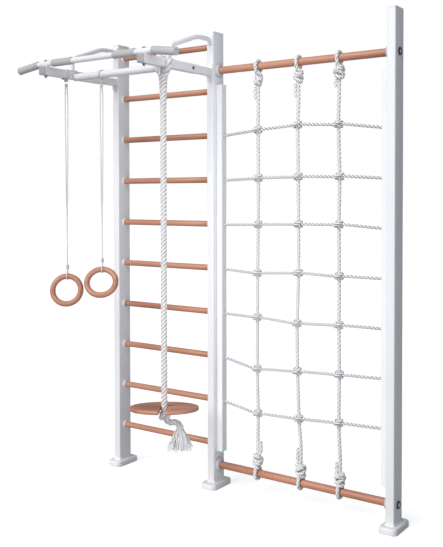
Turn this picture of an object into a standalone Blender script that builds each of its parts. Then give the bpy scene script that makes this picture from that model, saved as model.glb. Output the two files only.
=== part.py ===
"""Children's wall bars: a rung ladder, a knotted climbing net, and an overhead frame
that carries a pull-up bar, two rings and a climbing rope with a round seat.

Metres, +Z up. X runs along the wall, from the ladder to the net, and -Y is the room.
The origin is on the floor, under the middle post.
"""
import math

import bmesh
import bpy
from mathutils import Matrix, Vector

# Fits
FIT = 0.0003                 # gap between pieces that touch
BOLT_CLEARANCE = 0.0003      # round a bolt in its hole
SEAT_CLEARANCE = 0.0035      # round the climbing rope in the seat's hole

# Posts, caps and feet
TOTAL_HEIGHT = 2.267
LADDER_SPACING = 0.625       # left post to middle post
NET_SPACING = 0.952          # middle post to right post
POST_WIDTH = 0.040
POST_DEPTH = 0.090
POST_WALL = 0.002
POST_CORNER = 0.005
CAP_HEIGHT = 0.010
CAP_PLUG = 0.018
CAP_FILLET = 0.004
FOOT_WIDTH = 0.084
FOOT_FRONT = 0.079
FOOT_BACK = 0.076
FOOT_RIM = 0.030
FOOT_COLLAR = 0.038
FOOT_COLLAR_WALL = 0.004
FOOT_FLOOR = 0.006
FOOT_FILLET = 0.008
FOOT_DRAFT = 0.0015
FOOT_FRONT_CORNER = 0.026
FOOT_BACK_CORNER = 0.011

# Ladder
RUNG_PITCH = 0.220
LOWEST_RUNG = 0.217
RUNG_TOP_ROOM = 0.050        # least height of post above the top rung's axis
RUNG_DIAMETER = 0.030
RUNG_SEAT = 0.012            # how far a rung goes into each post
SOCKET_DIAMETER = 0.040
SOCKET_HEIGHT = 0.010
CHAMFER = 0.0015

# Net bars, their flanges and bolts
TOP_BAR_DROP = 0.190         # below the posts' tops, as are the other drops
BOTTOM_BAR = 0.112
BAR_DIAMETER = 0.036
FLANGE_DIAMETER = 0.072
FLANGE_HEIGHT = 0.016
FLANGE_BASE = 0.004
FLANGE_LIP = 0.003
BOLT_DIAMETER = 0.008
BOLT_REACH = 0.030           # how far a bolt goes into its bar
BOLT_CAP_DIAMETER = 0.036
BOLT_CAP_HEIGHT = 0.006
BOLT_HEAD_DIAMETER = 0.016
BOLT_HEAD_HEIGHT = 0.005

# Net rails, one against each post
RAIL_WIDTH = 0.033
RAIL_DEPTH = 0.041
RAIL_WALL = 0.002
RAIL_CORNER = 0.003
RAIL_BOTTOM = 0.185
RAIL_TOP_DROP = 0.262

# Net
VERTICAL_ROPE = 0.015
CROSS_ROPE = 0.013
ROPE_BITE = 0.0012           # how far ropes press into each other at a crossing
ROPE_HOLE_CLEARANCE = 0.0015
NET_ROWS = 7
NET_PITCH = 0.220
STOPPER_DIAMETER = 0.022
TURN_PITCH = 0.016           # rise of a cross rope in its turn round an upright rope
KNOT_PITCH = 0.0165          # spacing of the turns in an end knot
KNOT_TURNS = 2.75
KNOT_START = 0.052           # from a bar's axis to the first turn of the knot
KNOT_GAP = 0.0006            # between a knot's turns and the rope inside them
ROPE_TAILS = (0.060, 0.064, 0.034)
KNOT_TURN_STEPS = 8
LOOP_STEPS = 5               # in a rope's half turn round a bar
EYE_STEPS = 3                # in a cord's quarter turn under its ring
CROSS_TURN_STEPS = 5

# Where the upright ropes lie, from the top bar through the seven rows to the bottom bar
UPRIGHT_X = (
    (0.253, 0.252, 0.254, 0.252, 0.249, 0.248, 0.247, 0.251, 0.250),
    (0.475, 0.470, 0.473, 0.475, 0.475, 0.468, 0.470, 0.478, 0.488),
    (0.684, 0.681, 0.687, 0.684, 0.686, 0.685, 0.687, 0.685, 0.692),
)
# How far each crossing is pulled up or down from the height of its rope's holes
CROSSING_LIFT = (
    (0.019, 0.008, 0.005, -0.010, -0.003, -0.034, -0.030),
    (0.033, 0.012, 0.010, 0.003, -0.014, -0.019, -0.021),
    (0.025, 0.010, 0.013, -0.001, -0.003, -0.008, -0.008),
)

# Overhead frame
ARM_SIZE = 0.040
ARM_WALL = 0.0022
ARM_CORNER = 0.004
ARM_DROP = 0.202
ARM_FRONT = 0.567            # the arm's front end, from the posts' middle plane
ARM_BACK = 0.158             # the sleeve's back end
BRACKET_STUB_END = 0.250
BRACKET_PLATE = 0.005
BRACKET_PLATE_HEIGHT = 0.084
PLUG_DEPTH = 0.012
PLUG_DOME = 0.005
SET_BOLT_Y = 0.208
PULL_UP_DIAMETER = 0.028
PULL_UP_WALL = 0.002
PULL_UP_Y = 0.543
PULL_UP_BEND_START = 0.042   # outside each arm's axis
PULL_UP_OUTER = 0.134        # length of each outer end past its bend
PULL_UP_DROOP = 8.0          # degrees
GRIP_DIAMETER = 0.036
GRIP_INNER_START = 0.050
GRIP_INNER_LENGTH = 0.130
GRIP_OUTER_START = 0.008     # past the bend
GRIP_END = 0.008             # closed end of an outer grip
BRACE_DIAMETER = 0.022
BRACE_DROP = 0.041
BRACE_FLAT_END = 0.150       # where the flat part bends down
BRACE_BEND = 0.020           # half the length of that bend
BRACE_DIP = 0.006            # drop within it
BRACE_ELBOW_DROP = 0.076     # from the brace's flat end down to its elbow
BRACE_ELBOW = ((0.035, 0.006), (0.008, -0.012), (0.0, -0.036))
BRACE_PLATE = 0.004
BRACE_PLATE_HEIGHT = 0.050
BRACE_PLATE_WIDTH = 0.032
CROSSBAR_DIAMETER = 0.036
CROSSBAR_WALL = 0.002
CROSSBAR_END = 0.006
SPIGOT_DIAMETER = 0.018      # on each end of the crossbar, in the arm's inner wall
SPIGOT_BORE = 0.010
SPIGOT_RISE = 0.003          # above the crossbar's axis
CROSSBAR_Y = 0.367
CROSSBAR_DROP = 0.013        # below the arms' axes

# Rings on doubled cords
RING_DIAMETER = 0.168
RING_TUBE = 0.028
RING_LEFT_Y = 0.414
RING_LEFT_OFFSET = 0.007     # to the right of the left arm's axis
RING_RIGHT_X = -0.424
RING_LEFT_TOP = 1.055        # height of the tube's centre at the ring's top
RING_RIGHT_TOP = 1.096
RING_FACING = 35.0           # degrees from -Y towards +X
RING_LEFT_TILT = 17.0        # degrees that the ring's foot swings out to the room
RING_RIGHT_TILT = 32.0
RING_CORD = 0.006
CORD_KNOT = 0.018            # diameter of the knot that the cord swings from
CORD_DROP = 0.022            # from what holds the cord down to that knot's centre
STRAND_SPREAD = 0.013        # between the two strands
STRAND_CLOSE = 0.0072        # between them where they enter a knot
LOWER_KNOT_RISE = 0.046      # above the ring tube's centre
LOWER_KNOT_HEIGHT = 0.026

# Climbing rope and seat
CLIMBING_ROPE = 0.028
CLIMBING_ROPE_Y = 0.409
HITCH_CORD = 0.013
HITCH_TURNS = 2
HITCH_DROP = 0.026           # from the arm's underside down to the rope's rounded top
SEAT_DIAMETER = 0.320
SEAT_THICKNESS = 0.019
SEAT_ROUNDING = 0.007
SEAT_HEIGHT = 0.479
SEAT_TILT = 6.5              # degrees, the side that faces the room's right rises
SEAT_KNOT = 0.060
TAIL_REACH = 0.072           # from the knot to the tail's hanging end
TAIL_BEND = ((0.30, 0.415), (0.75, 0.413), (1.0, 0.395), (1.0, 0.367))
TASSEL_TOP = 0.402
TASSEL_BOTTOM = 0.278
TASSEL_NECK = 0.034
TASSEL_WIDTH = 0.104
TASSEL_FLARE = ((0.62, 0.050), (0.88, 0.085))   # share of the width, distance from the top

# Faces round each kind of round piece
ROUND_SIDES = 14
SOCKET_SIDES = 12
SMALL_SIDES = 8
TUBE_SIDES = 12
FINE_SIDES = 20

# Places worked out from the sizes above
LEFT_X = -LADDER_SPACING
RIGHT_X = NET_SPACING
POST_X = {"left": LEFT_X, "middle": 0.0, "right": RIGHT_X}
POST_FACE = POST_WIDTH / 2
POST_FRONT = -POST_DEPTH / 2
POST_TOP = TOTAL_HEIGHT - CAP_HEIGHT - FIT
RUNG_COUNT = 1 + int((TOTAL_HEIGHT - RUNG_TOP_ROOM - LOWEST_RUNG) / RUNG_PITCH)
RUNG_HEIGHTS = [LOWEST_RUNG + i * RUNG_PITCH for i in range(RUNG_COUNT)]
TOP_BAR = TOTAL_HEIGHT - TOP_BAR_DROP
BAR_HEIGHTS = {"top": TOP_BAR, "bottom": BOTTOM_BAR}
RAIL_TOP = TOTAL_HEIGHT - RAIL_TOP_DROP
NET_MIDDLE = (TOP_BAR + BOTTOM_BAR) / 2
ROW_HEIGHTS = [NET_MIDDLE + (NET_ROWS // 2 - i) * NET_PITCH for i in range(NET_ROWS)]
RAIL_X = POST_FACE + FIT + RAIL_WIDTH / 2
ARM_X = {"left": LEFT_X, "right": 0.0}
ARM_HEIGHT = TOTAL_HEIGHT - ARM_DROP
ARM_TOP = ARM_HEIGHT + ARM_SIZE / 2
ARM_UNDER = ARM_HEIGHT - ARM_SIZE / 2
PULL_UP_HEIGHT = ARM_TOP + FIT + PULL_UP_DIAMETER / 2
CROSSBAR_HEIGHT = ARM_HEIGHT - CROSSBAR_DROP
BRACE_HEIGHT = TOTAL_HEIGHT - BRACE_DROP
BRACE_ELBOW_HEIGHT = BRACE_HEIGHT - BRACE_ELBOW_DROP
FACING = math.radians(RING_FACING)
TOWARDS_ROOM = Vector((math.sin(FACING), -math.cos(FACING), 0))
ACROSS = Vector((math.cos(FACING), math.sin(FACING), 0))
UP = Vector((0, 0, 1))


def clear_scene():
    for old in list(bpy.data.objects):
        bpy.data.objects.remove(old, do_unlink=True)


def finish(name, colour, roughness, metallic=0.0):
    """A material whose colour, roughness and metallic value are the real surface's."""
    material = bpy.data.materials.new(name)
    material.use_nodes = True
    shader = material.node_tree.nodes["Principled BSDF"]
    shader.inputs["Base Color"].default_value = (*colour, 1)
    shader.inputs["Roughness"].default_value = roughness
    shader.inputs["Metallic"].default_value = metallic
    material.diffuse_color = (*colour, 1)
    return material


def put(name, bm, material, location=(0, 0, 0), turn=None, pivot=None):
    """Close a bmesh into a named object at its place.

    A pivot is where the origin goes for a shape that is drawn in its place already.
    """
    if pivot is not None:
        bmesh.ops.translate(bm, vec=-Vector(pivot), verts=bm.verts)
        location = pivot
    bmesh.ops.remove_doubles(bm, verts=bm.verts, dist=1e-6)
    bmesh.ops.recalc_face_normals(bm, faces=bm.faces)
    mesh = bpy.data.meshes.new(name)
    bm.to_mesh(mesh)
    bm.free()
    mesh.materials.append(material)
    mesh.shade_smooth()
    mesh.set_sharp_from_angle(angle=math.radians(35))
    piece = bpy.data.objects.new(name, mesh)
    bpy.context.scene.collection.objects.link(piece)
    piece.location = location
    if turn is not None:
        piece.rotation_euler = turn
    return piece


def copy_of(piece, name, location, turn=None):
    """Another object on the same mesh."""
    twin = bpy.data.objects.new(name, piece.data)
    bpy.context.scene.collection.objects.link(twin)
    twin.location = location
    twin.rotation_euler = piece.rotation_euler if turn is None else turn
    return twin


def combine(piece, tool, operation):
    """Cut with, or add, a helper object that is itself left out."""
    tool.hide_render = True
    tool.display_type = "WIRE"
    step = piece.modifiers.new(operation.lower(), "BOOLEAN")
    step.operation = operation
    step.solver = "EXACT"
    step.object = tool
    return step


def ring_outline(width, front, back, front_corner, back_corner, steps=2):
    """Rounded rectangle, anticlockwise: front and back are distances from the origin."""
    half = width / 2
    corners = (
        (half - back_corner, back - back_corner, back_corner, 0),
        (-half + back_corner, back - back_corner, back_corner, 90),
        (-half + front_corner, -front + front_corner, front_corner, 180),
        (half - front_corner, -front + front_corner, front_corner, 270),
    )
    points = []
    for x, y, radius, start in corners:
        for i in range(steps + 1):
            angle = math.radians(start + 90 * i / steps)
            points.append((x + radius * math.cos(angle), y + radius * math.sin(angle)))
    return points


def box_outline(width, depth, corner, steps=2):
    return ring_outline(width, depth / 2, depth / 2, corner, corner, steps)


def stack(bm, levels, closed=False):
    """Skin a stack of outlines, each given with its height; closed joins last to first."""
    loops = [[bm.verts.new((x, y, height)) for x, y in outline] for outline, height in levels]
    pairs = list(zip(loops, loops[1:]))
    if closed:
        pairs.append((loops[-1], loops[0]))
    for lower, upper in pairs:
        for i in range(len(lower)):
            bm.faces.new((lower[i - 1], lower[i], upper[i], upper[i - 1]))
    if not closed:
        bm.faces.new(loops[0][::-1])
        bm.faces.new(loops[-1])


def turned(profile, sides, bored=False):
    """Spin a profile of (radius, height) points about Z; bored closes the profile on itself."""
    bm = bmesh.new()
    verts = [bm.verts.new((radius, 0, height)) for radius, height in profile]
    edges = [bm.edges.new(pair) for pair in zip(verts, verts[1:])]
    if bored:
        edges.append(bm.edges.new((verts[-1], verts[0])))
    bmesh.ops.spin(bm, geom=verts + edges, cent=(0, 0, 0), axis=(0, 0, 1),
                   angle=2 * math.pi, steps=sides, use_merge=True)
    return bm


def rods(places, diameter, length, sides, direction):
    """Plain cylinders, one at each place, for holes."""
    bm = bmesh.new()
    turn = UP.rotation_difference(Vector(direction)).to_matrix().to_4x4()
    for place in places:
        bmesh.ops.create_cone(bm, cap_ends=True, segments=sides, radius1=diameter / 2,
                              radius2=diameter / 2, depth=length,
                              matrix=Matrix.Translation(place) @ turn)
    return bm


def helper(name, bm):
    return put(name, bm, MATERIALS["white"])


def smooth_route(points, steps):
    """Catmull-Rom points through a route, with the given number of steps in each stretch."""
    knots = [Vector(p) for p in points]
    knots = [2 * knots[0] - knots[1]] + knots + [2 * knots[-1] - knots[-2]]
    route = []
    for a, b, c, d in zip(knots, knots[1:], knots[2:], knots[3:]):
        for i in range(steps):
            t = i / steps
            route.append(0.5 * (2 * b + (c - a) * t + (2 * a - 5 * b + 4 * c - d) * t ** 2
                                + (3 * b - a - 3 * c + d) * t ** 3))
    route.append(knots[-2])
    return route


def tube_curve(name, points, diameter, resolution, caps=True, swell=None, cyclic=False):
    """A round tube along a route; swell gives a width factor at each point."""
    curve = bpy.data.curves.new(name, "CURVE")
    curve.dimensions = "3D"
    curve.bevel_depth = diameter / 2
    curve.bevel_resolution = resolution
    curve.use_fill_caps = caps
    spline = curve.splines.new("POLY")
    spline.points.add(len(points) - 1)
    spline.use_cyclic_u = cyclic
    for i, (target, point) in enumerate(zip(spline.points, points)):
        target.co = (*point, 1)
        target.radius = 1 if swell is None else swell[i]
    piece = bpy.data.objects.new(name, curve)
    bpy.context.scene.collection.objects.link(piece)
    return piece


def as_bmesh(pieces):
    """The evaluated meshes of helper objects in one bmesh; the helpers are removed."""
    bm = bmesh.new()
    bpy.context.view_layer.update()
    depsgraph = bpy.context.evaluated_depsgraph_get()
    for piece in pieces:
        mesh = bpy.data.meshes.new_from_object(piece.evaluated_get(depsgraph))
        mesh.transform(piece.matrix_world)
        bm.from_mesh(mesh)
        bpy.data.meshes.remove(mesh)
    for piece in pieces:
        bpy.data.objects.remove(piece, do_unlink=True)
    return bm


def ball(bm, centre, diameter, height, rings=4, sides=8):
    """A round or stretched knot."""
    scale = Matrix.Diagonal((1, 1, height / diameter, 1))
    bmesh.ops.create_uvsphere(bm, u_segments=sides, v_segments=rings, radius=diameter / 2,
                              matrix=Matrix.Translation(centre) @ scale)


def least_gap(points, diameter, step):
    """The least distance of a tube from itself, past its own next few points."""
    route = [Vector(p) for p in points]
    reach = max(2, math.ceil(2.2 * diameter / step))
    pairs = ((a, b) for i, a in enumerate(route) for b in route[i + reach:])
    return min((a - b).length for a, b in pairs) - diameter


# Posts, caps and feet

def post_outline(grow=0.0):
    return box_outline(POST_WIDTH + 2 * grow, POST_DEPTH + 2 * grow, POST_CORNER + grow)


def make_post(side, socket_side, bolt_side):
    """A rectangular tube, with rung sockets on one face and bolt holes right through."""
    bottom = FOOT_FLOOR + FIT
    outer = post_outline()
    inner = post_outline(-POST_WALL)
    bm = bmesh.new()
    stack(bm, [(outer, bottom), (outer, POST_TOP), (inner, POST_TOP), (inner, bottom)], closed=True)
    name = "post_" + side
    post = put(name, bm, MATERIALS["white"], (POST_X[side], 0, 0))
    if socket_side:
        face = POST_X[side] + socket_side * POST_FACE
        bm = bmesh.new()
        turn = UP.rotation_difference(Vector((socket_side, 0, 0))).to_matrix().to_4x4()
        depth = SOCKET_HEIGHT + POST_WALL / 2
        for height in RUNG_HEIGHTS:
            middle = (face + socket_side * (SOCKET_HEIGHT - depth / 2), 0, height)
            bmesh.ops.create_cone(bm, cap_ends=True, segments=SOCKET_SIDES,
                                  radius1=SOCKET_DIAMETER / 2,
                                  radius2=SOCKET_DIAMETER / 2 - CHAMFER, depth=depth,
                                  matrix=Matrix.Translation(middle) @ turn)
        combine(post, helper(name + "_sockets", bm), "UNION")
        places = [(face, 0, height) for height in RUNG_HEIGHTS]
        drill = rods(places, RUNG_DIAMETER + 2 * FIT, POST_WIDTH, SOCKET_SIDES, (socket_side, 0, 0))
        combine(post, helper(name + "_rung_drill", drill), "DIFFERENCE")
    if bolt_side:
        places = [(POST_X[side], 0, height) for height in BAR_HEIGHTS.values()]
        drill = rods(places, BOLT_DIAMETER + 2 * BOLT_CLEARANCE, 2 * POST_WIDTH, SMALL_SIDES,
                     (bolt_side, 0, 0))
        combine(post, helper(name + "_bolt_drill", drill), "DIFFERENCE")


def make_cap(side):
    """A cap whose plug stands in the post's bore."""
    plug = post_outline(-POST_WALL - FIT)
    brim = post_outline()
    under = POST_TOP + FIT
    top = under + CAP_HEIGHT
    levels = [(plug, POST_TOP - CAP_PLUG), (plug, under), (brim, under), (brim, top - CAP_FILLET)]
    for angle in (45, 90):
        swing = math.radians(angle)
        inset = CAP_FILLET * (1 - math.cos(swing))
        levels.append((post_outline(-inset), top - CAP_FILLET + CAP_FILLET * math.sin(swing)))
    bm = bmesh.new()
    stack(bm, levels)
    put("cap_" + side, bm, MATERIALS["white"], (POST_X[side], 0, 0))


def foot_outline(draft, rounding=0.0):
    """The foot's outline drawn in by its draft, which its upright back lacks, and by its rounding."""
    inset = draft + rounding
    return ring_outline(FOOT_WIDTH - 2 * inset, FOOT_FRONT - inset, FOOT_BACK - rounding,
                        FOOT_FRONT_CORNER - inset, FOOT_BACK_CORNER - inset)


def make_foot(side):
    """A boot with a drafted rim and a collar, in whose pocket the post stands."""
    shoulder = FOOT_RIM - FOOT_FILLET
    levels = [(foot_outline(0), 0), (foot_outline(FOOT_DRAFT), shoulder)]
    for angle in (35, 70):
        swing = math.radians(angle)
        rounding = FOOT_FILLET * (1 - math.cos(swing))
        levels.append((foot_outline(FOOT_DRAFT, rounding), shoulder + FOOT_FILLET * math.sin(swing)))
    pocket = post_outline(FIT)
    levels += [(post_outline(FIT + FOOT_COLLAR_WALL), FOOT_COLLAR), (pocket, FOOT_COLLAR),
               (pocket, FOOT_FLOOR)]
    bm = bmesh.new()
    stack(bm, levels)
    put("foot_" + side, bm, MATERIALS["foot"], (POST_X[side], 0, 0))


# Ladder rungs

def make_rungs():
    length = LADDER_SPACING - POST_WIDTH + 2 * RUNG_SEAT
    half = length / 2
    radius = RUNG_DIAMETER / 2
    profile = [(0, -half), (radius, -half), (radius, half), (0, half)]
    across = (0, math.pi / 2, 0)
    middle = LEFT_X / 2
    first = put("rung_01", turned(profile, SOCKET_SIDES), MATERIALS["wood"],
                (middle, 0, RUNG_HEIGHTS[0]), across)
    for number, height in enumerate(RUNG_HEIGHTS[1:], start=2):
        copy_of(first, f"rung_{number:02d}", (middle, 0, height))


# Net bars, flanges and the bolts that hold the bars

def make_net_bars():
    length = NET_SPACING - POST_WIDTH - 2 * FIT
    half = length / 2
    radius = BAR_DIAMETER / 2
    bore = BOLT_DIAMETER / 2 + BOLT_CLEARANCE
    depth = BOLT_REACH + 2 * FIT
    end = [(0, half - depth), (bore, half - depth), (bore, half), (radius, half)]
    profile = end + [(r, -h) for r, h in reversed(end)]
    across = (0, math.pi / 2, 0)
    top = put("net_bar_top", turned(profile, ROUND_SIDES), MATERIALS["wood"],
              (NET_SPACING / 2, 0, TOP_BAR), across)
    copy_of(top, "net_bar_bottom", (NET_SPACING / 2, 0, BOTTOM_BAR))


def make_flanges():
    """Cups round the ends of the net bars, against the posts."""
    bore = BAR_DIAMETER / 2 + FIT
    rim = FLANGE_DIAMETER / 2
    neck = bore + FLANGE_LIP
    profile = [(bore, FIT), (rim, FIT), (rim, FLANGE_BASE)]
    rise = FLANGE_HEIGHT - FLANGE_BASE
    shoulder = rim - CHAMFER
    for angle in (25, 55, 90):
        swing = math.radians(angle)
        profile.append((neck + (shoulder - neck) * math.cos(swing),
                        FLANGE_BASE + rise * math.sin(swing)))
    profile.append((bore, FLANGE_HEIGHT))
    first = None
    for side, face, turn in (("middle", POST_FACE, math.pi / 2),
                             ("right", RIGHT_X - POST_FACE, -math.pi / 2)):
        for level, height in BAR_HEIGHTS.items():
            name = f"flange_{side}_{level}"
            if first is None:
                first = put(name, turned(profile, ROUND_SIDES, bored=True), MATERIALS["white"],
                            (face, 0, height), (0, turn, 0))
            else:
                copy_of(first, name, (face, 0, height), (0, turn, 0))


def make_bar_bolts():
    """Bolts with a round cap on the post's outer face; the shank ends inside the bar."""
    shank = BOLT_DIAMETER / 2
    cap = BOLT_CAP_DIAMETER / 2
    end = -(POST_WIDTH + BOLT_REACH)
    profile = [(0, end), (shank, end), (shank, FIT), (cap, FIT), (cap, BOLT_CAP_HEIGHT / 2),
               (0.8 * cap, BOLT_CAP_HEIGHT), (0.5 * cap, BOLT_CAP_HEIGHT / 2),
               (0, BOLT_CAP_HEIGHT / 2)]
    first = None
    for side, face, turn in (("middle", -POST_FACE, -math.pi / 2),
                             ("right", RIGHT_X + POST_FACE, math.pi / 2)):
        for level, height in BAR_HEIGHTS.items():
            name = f"bar_bolt_{side}_{level}"
            if first is None:
                first = put(name, turned(profile, TUBE_SIDES), MATERIALS["black"],
                            (face, 0, height), (0, turn, 0))
            else:
                copy_of(first, name, (face, 0, height), (0, turn, 0))


# Net rails

def make_net_rail(side, x, inward):
    """A tube against a post, with a hole in its inner wall for each cross rope."""
    outer = box_outline(RAIL_WIDTH, RAIL_DEPTH, RAIL_CORNER)
    inner = box_outline(RAIL_WIDTH - 2 * RAIL_WALL, RAIL_DEPTH - 2 * RAIL_WALL,
                        RAIL_CORNER - RAIL_WALL)
    bm = bmesh.new()
    stack(bm, [(outer, RAIL_BOTTOM), (outer, RAIL_TOP), (inner, RAIL_TOP), (inner, RAIL_BOTTOM)],
          closed=True)
    rail = put("net_rail_" + side, bm, MATERIALS["rail"], (x, 0, 0))
    places = [(x + inward * RAIL_WIDTH / 2, 0, height) for height in ROW_HEIGHTS]
    drill = rods(places, CROSS_ROPE + 2 * ROPE_HOLE_CLEARANCE, RAIL_WIDTH / 2, SMALL_SIDES,
                 (inward, 0, 0))
    combine(rail, helper(rail.name + "_drill", drill), "DIFFERENCE")


# Climbing net

def crossing(column, row):
    """Where an upright rope and a cross rope meet."""
    return Vector((UPRIGHT_X[column][row + 1], 0, ROW_HEIGHTS[row] + CROSSING_LIFT[column][row]))


def knotted_end(x, bar_height, away, tail):
    """From the standing rope round a bar and down through the knot's turns to the tail.

    away is -1 at the top bar, where the rope hangs from it, and 1 at the bottom bar.
    """
    loop = (BAR_DIAMETER / 2 + VERTICAL_ROPE / 2 + FIT) / math.cos(math.pi / 2 / LOOP_STEPS)
    coil = VERTICAL_ROPE + KNOT_GAP
    points = [Vector((x, 0, bar_height + away * (KNOT_START + 0.012))),
              Vector((x, 0.30 * loop, bar_height + away * (KNOT_START - 0.012))),
              Vector((x, 0.80 * loop, bar_height + away * 0.62 * loop))]
    half_turn = [math.pi * i / LOOP_STEPS for i in range(LOOP_STEPS + 1)]
    points += [Vector((x, loop * math.cos(a), bar_height - away * loop * math.sin(a)))
               for a in half_turn]
    points.append(Vector((x, -0.88 * loop, bar_height + away * 0.62 * loop)))
    steps = round(KNOT_TURNS * KNOT_TURN_STEPS)
    for i in range(steps + 1):
        angle = 2 * math.pi * KNOT_TURNS * i / steps
        drop = KNOT_START + KNOT_PITCH * KNOT_TURNS * i / steps
        points.append(Vector((x + coil * math.sin(angle), -coil * math.cos(angle),
                              bar_height + away * drop)))
    drop = KNOT_START + KNOT_PITCH * KNOT_TURNS
    points.append(Vector((x - coil, 0, bar_height + away * (drop + VERTICAL_ROPE))))
    points.append(Vector((x - coil, 0, bar_height + away * (drop + tail))))
    return points


def upright_route(column):
    """One rope from its upper tail, round both bars, to its lower tail."""
    xs = UPRIGHT_X[column]
    top = knotted_end(xs[0], TOP_BAR, -1, ROPE_TAILS[column])
    bottom = knotted_end(xs[-1], BOTTOM_BAR, 1, ROPE_TAILS[column])
    rows = [crossing(column, row) for row in range(NET_ROWS)]
    clear_top = Vector((xs[0], 0, TOP_BAR - KNOT_START - KNOT_PITCH * KNOT_TURNS
                        - ROPE_TAILS[column] - VERTICAL_ROPE))
    clear_bottom = Vector((xs[-1], 0, BOTTOM_BAR + KNOT_START + KNOT_PITCH * KNOT_TURNS
                           + ROPE_TAILS[column] + VERTICAL_ROPE))
    return top[::-1] + [clear_top] + rows + [clear_bottom] + bottom


def cross_route(row):
    """One cross rope, with a turn round each upright and a stopper knot inside each rail.

    Gives the points and the width factor at each.
    """
    height = ROW_HEIGHTS[row]
    radius = (VERTICAL_ROPE + CROSS_ROPE) / 2 - ROPE_BITE
    wide = STOPPER_DIAMETER / CROSS_ROPE
    wall = RAIL_X + RAIL_WIDTH / 2 - RAIL_WALL
    ends = (wall, RIGHT_X - wall)
    stopper = [(-0.9 * STOPPER_DIAMETER - FIT, 0.6), (-0.5 * STOPPER_DIAMETER - FIT, 1),
               (-FIT, 0.6)]
    left_stopper = [(Vector((ends[0] + offset, 0, height)), share * wide)
                    for offset, share in stopper]
    right_stopper = [(Vector((ends[1] - offset, 0, height)), share * wide)
                     for offset, share in stopper]
    free = 3 * RAIL_WALL
    route = left_stopper + [(Vector((ends[0] + free, 0, height)), 1)]
    for column in range(len(UPRIGHT_X)):
        centre = crossing(column, row)
        half = TURN_PITCH / 2
        for i in range(CROSS_TURN_STEPS + 1):
            angle = 2 * math.pi * i / CROSS_TURN_STEPS
            rise = TURN_PITCH * i / CROSS_TURN_STEPS - half
            route.append((centre + Vector((radius * math.sin(angle), -radius * math.cos(angle),
                                           rise)), 1))
    route.append((Vector((ends[1] - free, 0, height)), 1))
    route += right_stopper[::-1]
    return [point for point, _ in route], [width for _, width in route]


def make_net():
    """Three upright ropes and seven cross ropes, pressed into each other at the crossings."""
    uprights = []
    for column in range(len(UPRIGHT_X)):
        points = upright_route(column)
        gap = least_gap(points, VERTICAL_ROPE, VERTICAL_ROPE * 2 * math.pi / KNOT_TURN_STEPS)
        print(f"upright rope {column + 1}: least gap to itself {gap * 1000:.2f} mm")
        uprights.append(tube_curve("upright", points, VERTICAL_ROPE, 1))
    net = put("climbing_net", as_bmesh(uprights), MATERIALS["rope"])
    crosses = []
    for row in range(NET_ROWS):
        points, widths = cross_route(row)
        crosses.append(tube_curve("cross", points, CROSS_ROPE, 1, swell=widths))
    combine(net, helper("cross_ropes", as_bmesh(crosses)), "UNION")


# Overhead frame

def along_y(bm):
    """Turn a piece that was stacked along Z so that it runs out to the room, along -Y."""
    bmesh.ops.rotate(bm, cent=(0, 0, 0), matrix=Matrix.Rotation(math.pi / 2, 3, "X"), verts=bm.verts)


def square(size, corner):
    return box_outline(size, size, corner)


def side_drill(name, x, y, height, length):
    places = [(x, -y, height)]
    bm = rods(places, BOLT_DIAMETER + 2 * BOLT_CLEARANCE, length, SMALL_SIDES, (1, 0, 0))
    return helper(name, bm)


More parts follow.
